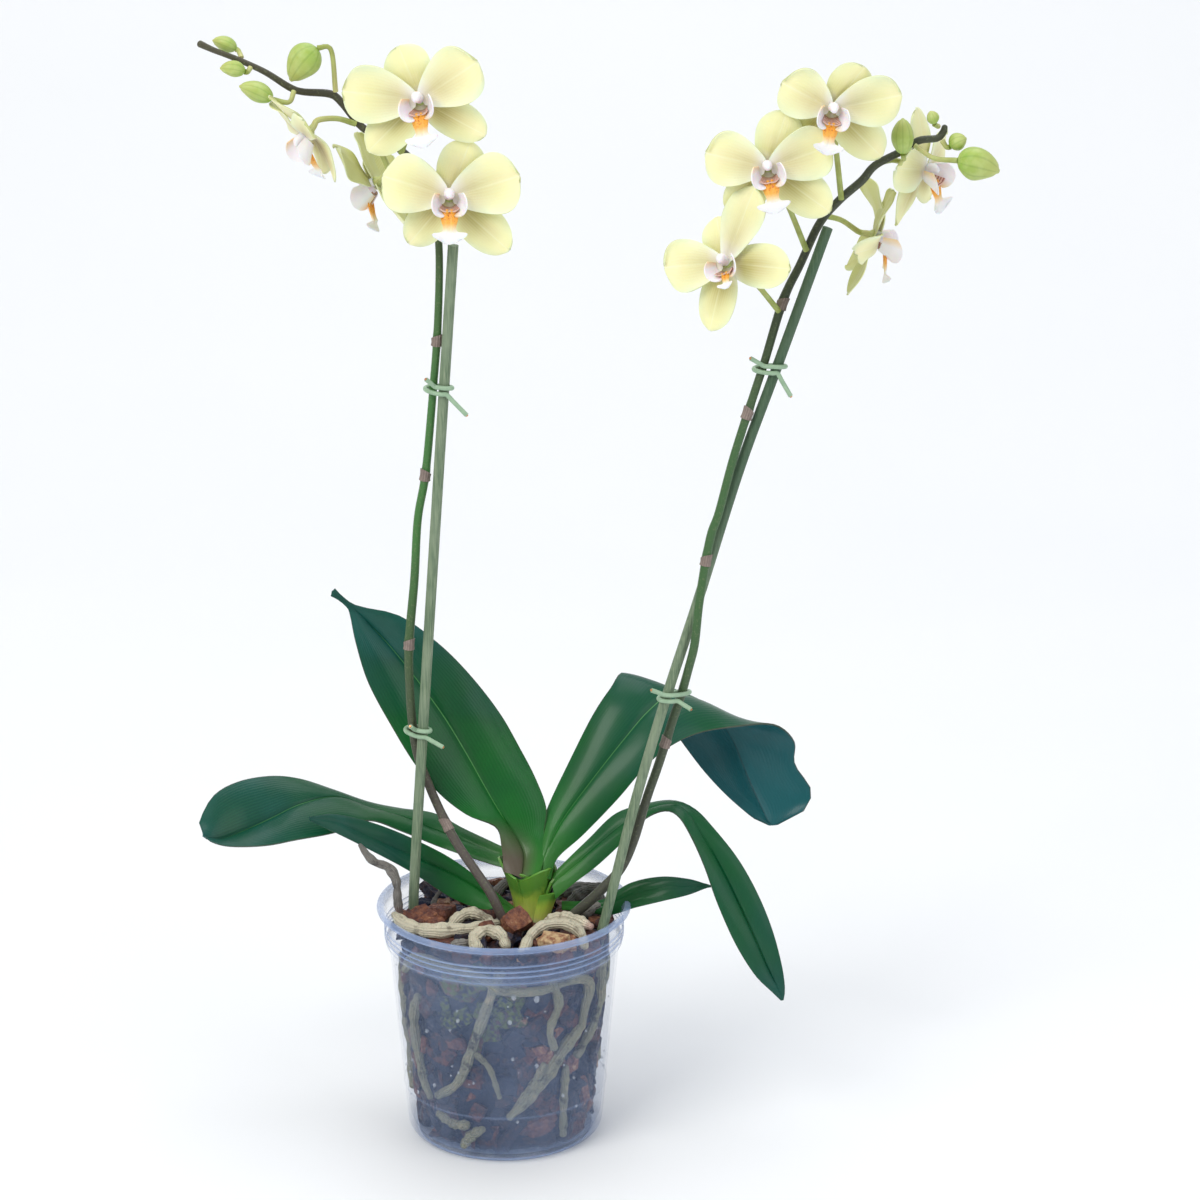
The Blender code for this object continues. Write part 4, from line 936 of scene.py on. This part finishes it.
def stalk_path(axes, middle, foot, size):
    """Out of the flower's back, then bending round to the foot on the spike."""
    middle, foot = np.array(middle, float), np.array(foot, float)
    behind = -axes[:, 2]
    start = middle + behind * 2.5 * size
    out = middle + behind * 10 * size
    turn = (out + foot) / 2 + (0, 0, 1.5)
    return even_path([(*start, 1.9), (*(middle + behind * 6 * size), 1.5), (*out, 1.35),
                      (*turn, 1.25), (*foot, 1.35)], 26)


def make_flower(name, spec, number, materials):
    """The tepals keep their own angles, and the roll turns only the lip and the column."""
    middle, looks, roll, size, foot, lip_size = spec
    level, rolled = flower_frame(looks, 0), flower_frame(looks, roll)
    made = flower_parts(name, number, lip_size)

    def in_place(group, axes, slot_number):
        return [(placed(one, axes * size, middle), slot_number) for one in made[group]]

    stalk = tube(stalk_path(level, middle, foot, size), 12)
    calyx = in_place("sepals", level, 0) + in_place("hub", level, 1) + [(stalk, 1)]
    piece(name + "_sepals", calyx, [materials["sepal"], materials["stalk"]], [name + "_sepals"])
    corolla = in_place("petals", level, 0) + in_place("column", rolled, 1)
    piece(name + "_petals", corolla, [materials["petal"], materials["lobe"]], [name + "_petals"])
    lip = in_place("blade", rolled, 0) + in_place("lobes", rolled, 1) + in_place("throat", rolled, 2)
    piece(name + "_lip", lip, [materials["blade"], materials["lobe"], materials["throat"]],
          [name + "_lip"])


def make_bud(name, spec, materials):
    """The stalk is a thin tube. The bud is a tube whose radius follows 0.12 + 0.88 · sin(πs^0.8)^0.75 and
    closes at the tip, with three low ribs where its sepals meet, as 1 + 0.06 · cos(3a + 0.6) · sin πs."""
    foot, turn, neck, tip, radius = spec
    stalk = tube(even_path([(*foot, 1.2), (*turn, 1.1), (*neck, 1.3)], 18), 10)
    neck, tip = np.array(neck, float), np.array(tip, float)
    share = np.linspace(0, 1, 24)[:, None]
    bow = np.array((0, 0, 1.0)) * 0.06 * np.linalg.norm(tip - neck) * np.sin(math.pi * share)
    fullness = 0.12 + 0.88 * np.sin(math.pi * np.clip(share, 0.0, 0.985) ** 0.8) ** 0.75
    rows = np.hstack([neck + (tip - neck) * share + bow, radius * fullness * (1 - 0.5 * ease(share, 0.9, 1))])

    def ribs(angle, along):
        return 1 + 0.06 * np.cos(3 * angle + 0.6) * np.sin(math.pi * along)

    piece(name, [(stalk, 1), (tube(rows, 24, ribs), 0)], [materials["bud"], materials["stalk"]],
          [name])


# ---- Leaves and crown ----


def leaf_surface(stations, seed, rows=64, columns=25):
    """Each half of a row runs from the midrib to its edge and swells towards the upper face as
    4t(1 - t); t runs from 0 at the midrib to 1 at the edge. Slow waves bend the edges."""
    path = even_path(np.roll(np.asarray(stations, float), -3, axis=1), rows)
    middle, right, left = (path[:, None, i:i + 3] for i in (0, 3, 6))
    v = np.linspace(-1, 1, columns)[None, :, None]
    t = np.abs(v)
    edge = np.where(v < 0, left, right)
    across = unit((right - left)[:, 0])
    face = np.cross(across, unit(np.gradient(path[:, :3], axis=0)))[:, None]
    reach = np.linalg.norm(edge - middle, axis=-1, keepdims=True)
    phase = np.random.default_rng(seed).uniform(0, FULL_TURN)
    u = np.linspace(0, 1, rows)[:, None, None]
    wave = 0.035 * t ** 2 * np.sin(phase + 11 * u + 1.2 * v) * ease(u, 0.15, 0.4)
    swell = reach * (0.09 * 4 * t * (1 - t) + wave)
    groove = 0.5 * bell(v, 0, 0.045) * ease(reach, 0.5, 4)
    return middle + t * (edge - middle) + (swell - groove) * face


def leaf_body(name, seed):
    """The blade, thickest along its midrib and thin at its rim. Its tone says how brown the foot is."""
    grid = leaf_surface(LEAVES[name], seed)
    v = np.linspace(-1, 1, grid.shape[1])[None, :]
    u = np.linspace(0, 1, grid.shape[0])[:, None]
    thickness = LEAF_THICKNESS * (0.45 + 0.55 * (1 - v ** 2)) * (1 - 0.5 * ease(u, 0.7, 1.0))
    return sheet(grid, thickness, 1.0 if name == "leaf_upper_left" else 0.0)


def sheath(middle, radii, heights, turn, reach, lean, tone):
    """A leaf's sheath round the crown: part of a cone about the crown's axis, between the angles
    turn ± reach. Its top edge is highest in its middle, and falls as a cosine to both sides."""
    low, high = heights
    u = np.linspace(0, 1, 22)[:, None]
    a = np.linspace(-1, 1, 25)[None, :]
    top = low + (high - low) * (0.72 + 0.28 * np.cos(a * math.pi / 2) ** 1.2)
    height = low + u * (top - low)
    radius = radii[0] + (radii[1] - radii[0]) * u ** 1.2 + 0.5 * bell(a, 0, 0.12) * u
    angle = math.radians(turn) + math.radians(reach) * a
    x = middle[0] + radius * np.cos(angle) + lean[0] * u ** 1.5
    y = middle[1] + radius * np.sin(angle) + lean[1] * u ** 1.5
    return sheet(np.stack([x, y, height + 0 * angle], axis=-1), 1.1, tone)


def make_crown(material):
    """A short stem wrapped by sheaths: a lime one in front, green shoulders and a pale low one."""
    core = [(0, 105), (4.5, 105), (6.6, 109), (8.2, 117), (8.0, 124), (5.6, 128), (2.6, 129.5), (0, 130)]
    stem = placed(turned(smooth_path(core, 5), 36, 0.35), np.eye(3), (*CROWN_AXIS, 0))
    wraps = [
        sheath(CROWN_AXIS, (6.6, 9.4), (105, 129.5), -118, 100, (-0.5, -0.5), 0.1),
        sheath(CROWN_AXIS, (6.2, 10.0), (106, 131), -42, 95, (0.5, -0.5), 0.22),
        sheath(CROWN_AXIS, (7.4, 11.6), (112, 134), 176, 75, (-2.5, 0), 0.42),
        sheath((17.0, 3.5), (4.0, 5.4), (104, 119), -64, 130, (3.0, 1), 0.0),
        sheath(CROWN_AXIS, (7.0, 10.6), (108, 130), 60, 100, (2, 1), 0.4),
    ]
    piece("crown", [(one, 0) for one in [stem, *wraps]], [material], ["crown"])


# ---- Spikes, stakes and ties ----


def point_at_height(route, height):
    fine = smooth_path([row[:3] for row in route], 16)
    return np.array([np.interp(height, fine[:, 2], column) for column in fine.T])


def bract(route, height, hand):
    """A scale wrapped three quarters round the stem: a cone whose top edge slants up to one side."""
    foot, top = point_at_height(route, height - 3), point_at_height(route, height + BRACT_HEIGHT - 3)
    along = unit(top - foot)
    side = unit(np.cross(along, (0, 1.0, 0)))
    front = np.cross(side, along)
    u = np.linspace(0, 1, 12)[:, None, None]
    a = np.linspace(-1, 1, 19)[None, :, None]
    angle = a * math.radians(140) + hand * 0.9 - math.pi / 2
    rise = u * (0.55 + 0.45 * np.cos(a * math.pi / 2))
    radius = 2.2 + 0.3 * u ** 2 + 0.3 * bell(u, 0.0, 0.25)
    ring = np.cos(angle) * side + np.sin(angle) * front
    return sheet(foot + (top - foot) * rise + radius * ring, 0.35)


def make_spike(name, route, materials):
    """A round stem, swollen by a seventh at each node, with a bract at each."""
    rows = even_path(route, 260)
    swell = sum(bell(rows[:, 2], height, 3.0) for height in BRACTS[name])
    rows[:, 3] *= 1 + 0.14 * swell
    stem = tube(rounded(rows), 16, tone=1.0 if name == "spike_right" else 0.0)
    scales = [bract(route, height, hand) for height, hand in zip(BRACTS[name], (1, -1, 1, -1))]
    piece(name, [(stem, 0)] + [(one, 1) for one in scales], [materials["spike"], materials["bract"]],
          [name])


def make_stake(name, route, material):
    """A split cane: the section is round, flattened on one side by cos^4, and lightly fluted."""
    rows = even_path([(*point, STAKE_RADIUS) for point in route], 90)

    def flat(angle, along):
        return 1 - 0.2 * np.maximum(np.cos(angle - 2.2), 0) ** 4 + 0.02 * np.cos(7 * angle + 5 * along)

    tone = ease(rows[:, 2], 180, 330) * (1.0 if name == "stake_right" else 0.25)
    body = tube(rows, 24, flat)
    body["tone"] = np.concatenate([np.repeat(tone, 24), tone[:1], tone[-1:]])
    piece(name, [(body, 0)], [material], [name])


def make_tie(name, spec, materials):
    """Covered wire, a turn and a seventh round stake and spike on an ellipse, falling, with its ends bent
    out. A bare copper core shows at each end."""
    stake, spike, height, right_end, left_end = spec
    on_stake, on_spike = point_at_height(STAKES[stake], height), point_at_height(SPIKES[spike], height)
    apart = on_spike - on_stake
    long_way = unit(apart)
    short_way = np.cross((0, 0, 1), long_way)
    short_radius = STAKE_RADIUS + TIE_RADIUS + 0.5
    long_radius = short_radius + np.linalg.norm(apart) / 2
    front = math.atan2(-short_way[1], -long_way[1])
    angle = front + np.linspace(-0.45, FULL_TURN + 0.45, 21)[:, None]
    rise = np.linspace(TIE_RISE / 2, -TIE_RISE / 2, 21)[:, None] * np.array((0, 0, 1))
    loop = ((on_stake + on_spike) / 2 + long_radius * np.cos(angle) * long_way
            + short_radius * np.sin(angle) * short_way + rise)
    points = np.vstack([loop[0] + left_end, loop[0] + np.array(left_end) * 0.4, loop,
                        loop[-1] + np.array(right_end) * 0.35, loop[-1] + right_end])
    rows = even_path(np.hstack([points, np.full((len(points), 1), TIE_RADIUS)]), 110)
    wire = tube(rows, 12)
    outward = unit(rows[[0, -1], :3] - rows[[1, -2], :3])
    cores = []
    for end, way in zip(rows[[0, -1], :3], outward):
        core = np.array([(*(end - way * 0.5), 0.6), (*(end + way * 0.1), 0.6), (*(end + way * 0.5), 0.55)])
        cores.append(tube(core, 10))
    piece(name, [(wire, 0)] + [(core, 1) for core in cores], [materials["tie"], materials["copper"]],
          [name])


# ---- Pot, bark and roots ----


def body_radius(height):
    """Outer radius of the pot's tapered body."""
    share = (height - CORNER_RADIUS) / (COLLAR_FOOT - CORNER_RADIUS)
    return BODY_FOOT_RADIUS + share * (BODY_TOP_RADIUS - BODY_FOOT_RADIUS)


def arc(middle, radius, start, end, count):
    """Points of a circular arc from one angle to another, in degrees."""
    turn = np.radians(np.linspace(start, end, count))
    return [(middle[0] + radius * math.cos(a), middle[1] + radius * math.sin(a)) for a in turn]


def pot_outline():
    """Radius, height and haze: up the outside over a low ring, the collar's step and its three fine rings
    to the rolled lip, then down inside."""
    thin, ringed, thick = 0.1, 0.34, 0.46
    outside = [(0, 0, thick), (FOOT_RADIUS - 6, 0, thick), (FOOT_RADIUS, 0, thick),
               (FOOT_RADIUS + 0.5, 0.6, thick), (FOOT_RADIUS + 0.6, FOOT_HEIGHT, 0.4)]
    corner_middle = (BODY_FOOT_RADIUS - CORNER_RADIUS, CORNER_RADIUS + FOOT_HEIGHT / 2)
    corner = arc(corner_middle, CORNER_RADIUS, -75, 0, 8)
    outside += [(radius, height, 0.3 - 0.025 * i) for i, (radius, height) in enumerate(corner)]
    for height in (12, 18, 24.0):
        outside.append((body_radius(height), height, thin))
    outside += [(body_radius(25) + 0.25, 25, 0.3), (body_radius(25.8), 25.8, thin)]
    for height in (40, 55, 70, 85, COLLAR_FOOT - 2.6):
        outside.append((body_radius(height), height, thin))
    outside += [(BODY_TOP_RADIUS + 0.4, COLLAR_FOOT - 1.0, ringed),
                (COLLAR_RADIUS - 1.0, COLLAR_FOOT, 0.55),
                (COLLAR_RADIUS - 0.5, COLLAR_FOOT + 0.7, ringed),
                (COLLAR_RADIUS - 0.7, COLLAR_FOOT + 1.6, thin)]
    for height in (COLLAR_FOOT + 3.5, COLLAR_FOOT + 6.0, COLLAR_FOOT + 8.5):
        outside += [(COLLAR_RADIUS - 0.7, height - 0.8, 0.12), (COLLAR_RADIUS, height - 0.15, 0.6),
                    (COLLAR_RADIUS, height + 0.15, 0.6), (COLLAR_RADIUS - 0.7, height + 0.8, 0.12)]
    outside += [(COLLAR_RADIUS - 0.2, POT_HEIGHT - 5.0, thin), (COLLAR_RADIUS, POT_HEIGHT - 3.4, ringed)]
    lip = arc((RIM_RADIUS - 1.4, POT_HEIGHT - 1.6), 1.4, -80, 60, 9)
    outside += [(radius, height, thick) for radius, height in lip]
    inside = [(RIM_RADIUS - 1.6, POT_HEIGHT, thick), (RIM_RADIUS - 2.9, POT_HEIGHT - 0.3, thick),
              (COLLAR_RADIUS - WALL, POT_HEIGHT - 2.6, ringed),
              (COLLAR_RADIUS - WALL - 0.4, POT_HEIGHT - 6, thin),
              (COLLAR_RADIUS - WALL - 0.9, COLLAR_FOOT + 1.0, ringed),
              (body_radius(COLLAR_FOOT - 2) - WALL, COLLAR_FOOT - 1.5, thin)]
    for height in (80, 60, 40, 20, 10):
        inside.append((body_radius(height) - WALL, height, thin))
    inside += [(body_radius(6) - WALL - 2.2, FLOOR_TOP + 1.4, 0.3),
               (body_radius(6) - WALL - 6, FLOOR_TOP, 0.3), (20, FLOOR_TOP, 0.3), (0, FLOOR_TOP, 0.3)]
    return np.array(outside + inside)


def make_pot(material):
    """The turned shell, with its drain holes cut through its floor."""
    outline = pot_outline()
    body = turned(outline[:, :2], POT_SEGMENTS)
    haze = outline[1:-1, 2]
    body["tone"] = np.concatenate([np.repeat(haze, POT_SEGMENTS), outline[:1, 2], outline[-1:, 2]])
    pot = piece("pot", [(body, 0)], [material], ["pot"], crease=35)
    cutters = []
    for i in range(DRAIN_HOLES):
        angle = FULL_TURN * (i + 0.5) / DRAIN_HOLES
        x, y = DRAIN_CIRCLE * math.cos(angle), DRAIN_CIRCLE * math.sin(angle)
        path = np.array([(x, y, z, DRAIN_RADIUS) for z in (-2, 1.5, FLOOR_TOP + 2)])
        cutters.append((tube(path, 24), 0))
    cutter = piece("drain_cutter", cutters, [material])
    cut = pot.modifiers.new("drain_holes", "BOOLEAN")
    cut.operation = "DIFFERENCE"
    cut.solver = "EXACT"
    cut.object = cutter
    bpy.context.view_layer.update()
    graph = bpy.context.evaluated_depsgraph_get()
    pot.data = bpy.data.meshes.new_from_object(pot.evaluated_get(graph), depsgraph=graph)
    pot.modifiers.clear()
    bpy.data.objects.remove(cutter, do_unlink=True)


def wall_point(angle, height, radius):
    """A root's centre lying against the inside of the wall."""
    reach = body_radius(height) - WALL - radius - 0.5
    turn = math.radians(angle)
    return reach * math.cos(turn), reach * math.sin(turn), height, radius


def root_body(rows, seed, tone=0.3, count=80):
    """A root: its radius wanders from 0.77 to 1.15 of what is given, and low ridges run along it."""
    random = np.random.default_rng(seed)
    phase = random.uniform(0, FULL_TURN, 3)
    path = even_path(rows, count)
    share = np.linspace(0, 1, count)
    path[:, 3] *= 0.96 + 0.12 * np.sin(phase[0] + 19 * share) + 0.07 * np.sin(phase[1] + 47 * share)

    def lumps(angle, along):
        return 1 + 0.05 * np.cos(2 * angle + phase[2] + 9 * along) + 0.03 * np.cos(5 * angle)

    return tube(rounded(path), 14, lumps, tone)


def make_roots(materials):
    for number, (name, rows) in enumerate(ROOTS.items()):
        pale = "aerial" not in name
        tone = 0.9 if name in ("root_short_right", "root_aerial_left") else 0.3
        piece(name, [(root_body(rows, number, tone), 0)], [materials["root" if pale else "grey_root"]],
              [name])
    for number, (name, rows) in enumerate(WALL_ROOTS.items()):
        path = [wall_point(*row) for row in rows]
        piece(name, [(root_body(path, 20 + number), 0)], [materials["wall_root"]], [name])
    deep = [root_body([wall_point(*row) for row in rows], 40 + i, count=60)
            for i, rows in enumerate(DEEP_ROOTS)]
    piece("roots_along_wall", [(one, 0) for one in deep], [materials["wall_root"]])
    back = [root_body(rows, 60 + i, count=50) for i, rows in enumerate(BACK_ROOTS)]
    piece("roots_behind_crown", [(one, 0) for one in back], [materials["grey_root"]])


CHIP_LATTICE = np.array([(x, y, z) for x in (-1, 0, 1) for y in (-1, 0, 1) for z in (-1, 0, 1)
                         if (x, y, z) != (0, 0, 0)], float)


def chip_faces():
    """The four cells of each side of the 3 × 3 × 3 lattice, by point number, facing out."""
    number = {tuple(point): i for i, point in enumerate(CHIP_LATTICE.astype(int).tolist())}
    faces = []
    for axis in range(3):
        first, second = (axis + 1) % 3, (axis + 2) % 3
        for hand in (-1, 1):
            for a in (-1, 0):
                for b in (-1, 0):
                    ring = []
                    for da, db in ((0, 0), (1, 0), (1, 1), (0, 1))[::hand]:
                        spot = [0, 0, 0]
                        spot[axis], spot[first], spot[second] = hand, a + da, b + db
                        ring.append(number[tuple(spot)])
                    faces.append(ring)
    return np.array(faces)


def chip_pile(middles, out, random, size, tones, moss):
    """Broken blocks: the outer points of a 3 × 3 × 3 lattice, rounded a little, stretched to a size,
    each moved at random, then set with their thin side towards the direction out."""
    count = len(middles)
    shape = CHIP_LATTICE / np.linalg.norm(CHIP_LATTICE, axis=1, keepdims=True) ** 0.45
    scale = np.stack([random.uniform(low, high, count) for low, high in size], axis=1)[:, None] / 2
    points = shape[None] * scale * (1 + random.normal(0, 0.13, (count, len(CHIP_LATTICE), 3)))
    out = unit(out + random.normal(0, 0.22, (count, 3)))
    lean = unit(np.cross(out, unit(random.normal(0, 1, (count, 3)))))
    third = np.cross(out, lean)
    axes = np.stack([lean, third, out], axis=1)
    points = np.einsum("nij,njk->nik", points, axes) + middles[:, None]
    faces = (chip_faces()[None] + len(CHIP_LATTICE) * np.arange(count)[:, None, None]).reshape(-1, 4)
    uv = np.tile((CHIP_LATTICE[:, :2] + 1) / 2, (count, 1))
    return part(points.reshape(-1, 3), faces.tolist(), uv, np.repeat(moss, len(CHIP_LATTICE)),
                np.repeat(tones, len(CHIP_LATTICE)))


def make_bark(material):
    """A dark core, whose black-blue is painted shade in the gaps between the chips, with a layer of chips
    standing against the wall, one lying on the top, one on the floor, and the chips that show most."""
    random = np.random.default_rng(7)
    # The core's low tone takes the black-blue end of the bark's colours: painted shade between the chips.
    core = turned([(0, FLOOR_TOP + 0.3), (36, FLOOR_TOP + 0.3), (38.5, 8), (41, 40), (44.5, BARK_TOP - 9),
                   (43, BARK_TOP - 4), (20, BARK_TOP - 2.5), (0, BARK_TOP - 2)], 64, 0.05)
    count = WALL_CHIPS
    angle = random.uniform(0, FULL_TURN, count)
    height = random.uniform(8, BARK_TOP - 4, count)
    out = np.stack([np.cos(angle), np.sin(angle), np.zeros(count)], axis=1)
    reach = body_radius(height) - WALL - 4.6 - random.uniform(0, 3.2, count)
    middles = out * reach[:, None] + np.stack([0 * height, 0 * height, height], axis=1)
    tones = random.beta(1.2, 2.6, count)
    moss = (np.sin(3 * angle + 0.8) * bell(height, 80, 17) > 0.25).astype(float)
    wall = chip_pile(middles, out, random, ((7, 17), (5, 11), (2.5, 5)), tones, moss)
    # Chips pressed outwards stop short of the wall, where the roots lie, each at a depth of its own.
    away = np.hypot(wall["points"][:, 0], wall["points"][:, 1])
    depth = np.repeat(2.0 + np.arange(count) % 23 * 0.06, len(CHIP_LATTICE))
    room = body_radius(wall["points"][:, 2]) - WALL - depth
    wall["points"][:, :2] *= np.minimum(1.0, room / away)[:, None]
    count = TOP_CHIPS
    angle = random.uniform(0, FULL_TURN, count)
    radius = 48.5 * np.sqrt(random.uniform(0, 1, count))
    height = BARK_TOP - 1.0 + random.uniform(-2.5, 1.5, count)
    middles = np.stack([radius * np.cos(angle), radius * np.sin(angle), height], axis=1)
    clear = np.hypot(middles[:, 0] - 14, middles[:, 1] - 6) > 9
    middles = middles[clear]
    up = np.tile((0, 0, 1.0), (len(middles), 1))
    top = chip_pile(middles, up, random, ((6, 15), (5, 10), (3, 6)),
                    random.beta(2.2, 2.6, len(middles)), np.zeros(len(middles)))
    angle = random.uniform(0, FULL_TURN, FLOOR_CHIPS)
    radius = 36 * np.sqrt(random.uniform(0, 1, FLOOR_CHIPS))
    low = np.stack([radius * np.cos(angle), radius * np.sin(angle), np.full(FLOOR_CHIPS, 6.4)], axis=1)
    under = chip_pile(low, np.tile((0, 0, -1.0), (FLOOR_CHIPS, 1)), random, ((6, 14), (5, 10), (2.5, 4)),
                      random.beta(1.6, 3.2, FLOOR_CHIPS), np.zeros(FLOOR_CHIPS))
    shown = [chip_pile(np.array([spot], float), np.array([(0.05, -0.35, 0.9)]), random,
                       [(side * 0.97, side) for side in box], np.array([shade]), np.zeros(1))
             for spot, box, shade in SHOWN_CHIPS]
    piece("potting_bark", [(one, 0) for one in [core, wall, top, under, *shown]], [material],
          ["potting_bark"], crease=28)


def make_drops(material):
    """Beads of water on the inside of the wall, flattened against it."""
    random = np.random.default_rng(3)
    spots = [(-84, 88, 1.3), (-72, 86, 1.5), (-114, 74, 1.0), (-86, 75, 1.1), (-133, 36, 0.9), (-71, 51, 1.0)]
    spots += [(random.uniform(0, 360), random.uniform(20, 92), random.uniform(0.4, 0.9)) for _ in range(60)]
    beads = []
    for angle, height, radius in spots:
        x, y, z, _ = wall_point(angle, height, 0.0)
        beads.append((ball((x, y, z), (radius, radius, radius * 1.2), rings=5, sides=8), 0))
    piece("water_beads", beads, [material])


# ---- Stage ----


def make_stage():
    """A pale floor that curves up into a backdrop: z = 0 to y = 0.9 m, a quarter arc, then a wall."""
    width = np.linspace(-6.0, 6.0, 2)[None, :]
    flat = [(-6.0, 0.0), (0.9, 0.0)]
    bend = [(0.9 + 0.8 * math.sin(a), 0.8 - 0.8 * math.cos(a)) for a in np.linspace(0.1, math.pi / 2, 14)]
    profile = np.array([*flat, *bend, (1.7, 3.5)])
    y, z = profile[:, :1], profile[:, 1:]
    grid = np.stack([width + 0 * y, y + 0 * width, z + 0 * width], axis=-1)
    index = np.arange(grid.shape[0] * 2).reshape(-1, 2)
    mesh = bpy.data.meshes.new("studio_floor")
    mesh.from_pydata(grid.reshape(-1, 3), [], lattice_faces(index).tolist())
    mesh.shade_smooth()
    material, tree, shader = new_material("studio_paper", 0.9)
    shade = blended(tree, noise(tree, 3, 2), colour("EEF0F2"), colour("F3F4F5"))
    tree.links.new(shade, shader.inputs["Base Color"])
    mesh.materials.append(material)
    floor = bpy.data.objects.new("studio_floor", mesh)
    bpy.context.scene.collection.objects.link(floor)


def make_light(name, place, target, side, watts, shade):
    data = bpy.data.lights.new(name, "AREA")
    data.energy = watts
    data.size = side
    data.color = colour(shade)[:3]
    light = bpy.data.objects.new(name, data)
    bpy.context.scene.collection.objects.link(light)
    way = unit(np.array(target, float) - np.array(place, float))
    light.location = place
    light.rotation_euler = (math.acos(-way[2]), 0, math.atan2(way[0], -way[1]) + math.pi)


def make_lights():
    """One broad soft light over the left shoulder, a wide fill on the right, one from above
    and behind, and a pale room all round."""
    make_light("key_light", (-1.3, -1.5, 2.1), (0.0, 0, 0.3), 1.4, 39, "FFFDF8")
    make_light("fill_light", (1.8, -1.2, 1.3), (0.05, 0, 0.3), 1.8, 14, "F6F8FD")
    make_light("top_light", (0.2, 0.5, 2.4), (0.05, 0, 0.3), 1.6, 17, "FAFBFF")
    world = bpy.data.worlds.new("studio")
    world.use_nodes = True
    background = world.node_tree.nodes["Background"]
    background.inputs[0].default_value = colour("F1F3F6")
    background.inputs[1].default_value = 0.55
    bpy.context.scene.world = world
    bpy.context.scene.view_settings.view_transform = "Standard"


CAMERA_PLACE = (0.0453, -1.75, 0.8225)
CAMERA_TILT = 17.7
CAMERA_LENS = 119.7
CAMERA_SENSOR = 36.0


def make_camera():
    """In metres and degrees, looking along +Y and down by the tilt."""
    data = bpy.data.cameras.new("camera")
    data.lens = CAMERA_LENS
    data.sensor_width = CAMERA_SENSOR
    camera = bpy.data.objects.new("camera", data)
    bpy.context.scene.collection.objects.link(camera)
    camera.location = CAMERA_PLACE
    camera.rotation_euler = (math.radians(90 - CAMERA_TILT), 0, 0)
    bpy.context.scene.camera = camera


def main():
    make_camera()
    make_lights()
    make_stage()
    materials = {
        "petal": tepal_material("petal_waxy_tissue", "FBF5F6", "F5EDC4", "F8F4BA", "E5F2CC", "B9BC6E"),
        "sepal": tepal_material("sepal_waxy_tissue", "EDE4DA", "DDD796", "F4F1B6", "E5F0C8", "AFB260"),
        "blade": lip_blade_material(), "lobe": lip_lobe_material(), "throat": throat_material(),
        "stalk": green_stalk_material("stalk_young_tissue", "CFCB8E", "93A04E"),
        "bud": green_stalk_material("bud_young_tissue", "92B44A", "BEC474"),
        "spike": spike_material(), "bract": bract_material(),
        "root": root_material("velamen_dry", "C2BBA4", "857D6C", "D8D0B8"),
        "grey_root": root_material("velamen_old", "7D7A74", "4F4C4A", "98938A"),
        "wall_root": root_material("velamen_damp", "87866B", "3B3A29", "ACA27E"),
        "tie": tie_material(), "copper": copper_material(),
    }
    make_pot(pot_material())
    make_drops(drop_material())
    make_bark(bark_material())
    make_roots(materials)
    leaf = leaf_material()
    for number, name in enumerate(LEAVES):
        piece(name, [(leaf_body(name, number), 0)], [leaf], [name], crease=60)
    make_crown(sheath_material())
    for name, route in SPIKES.items():
        make_spike(name, route, materials)
    cane = cane_material()
    for name, route in STAKES.items():
        make_stake(name, route, cane)
    for name, spec in TIES.items():
        make_tie(name, spec, materials)
    for number, (name, spec) in enumerate(FLOWERS.items()):
        make_flower(name, spec, number, materials)
    for name, spec in BUDS.items():
        make_bud(name, spec, materials)


main()
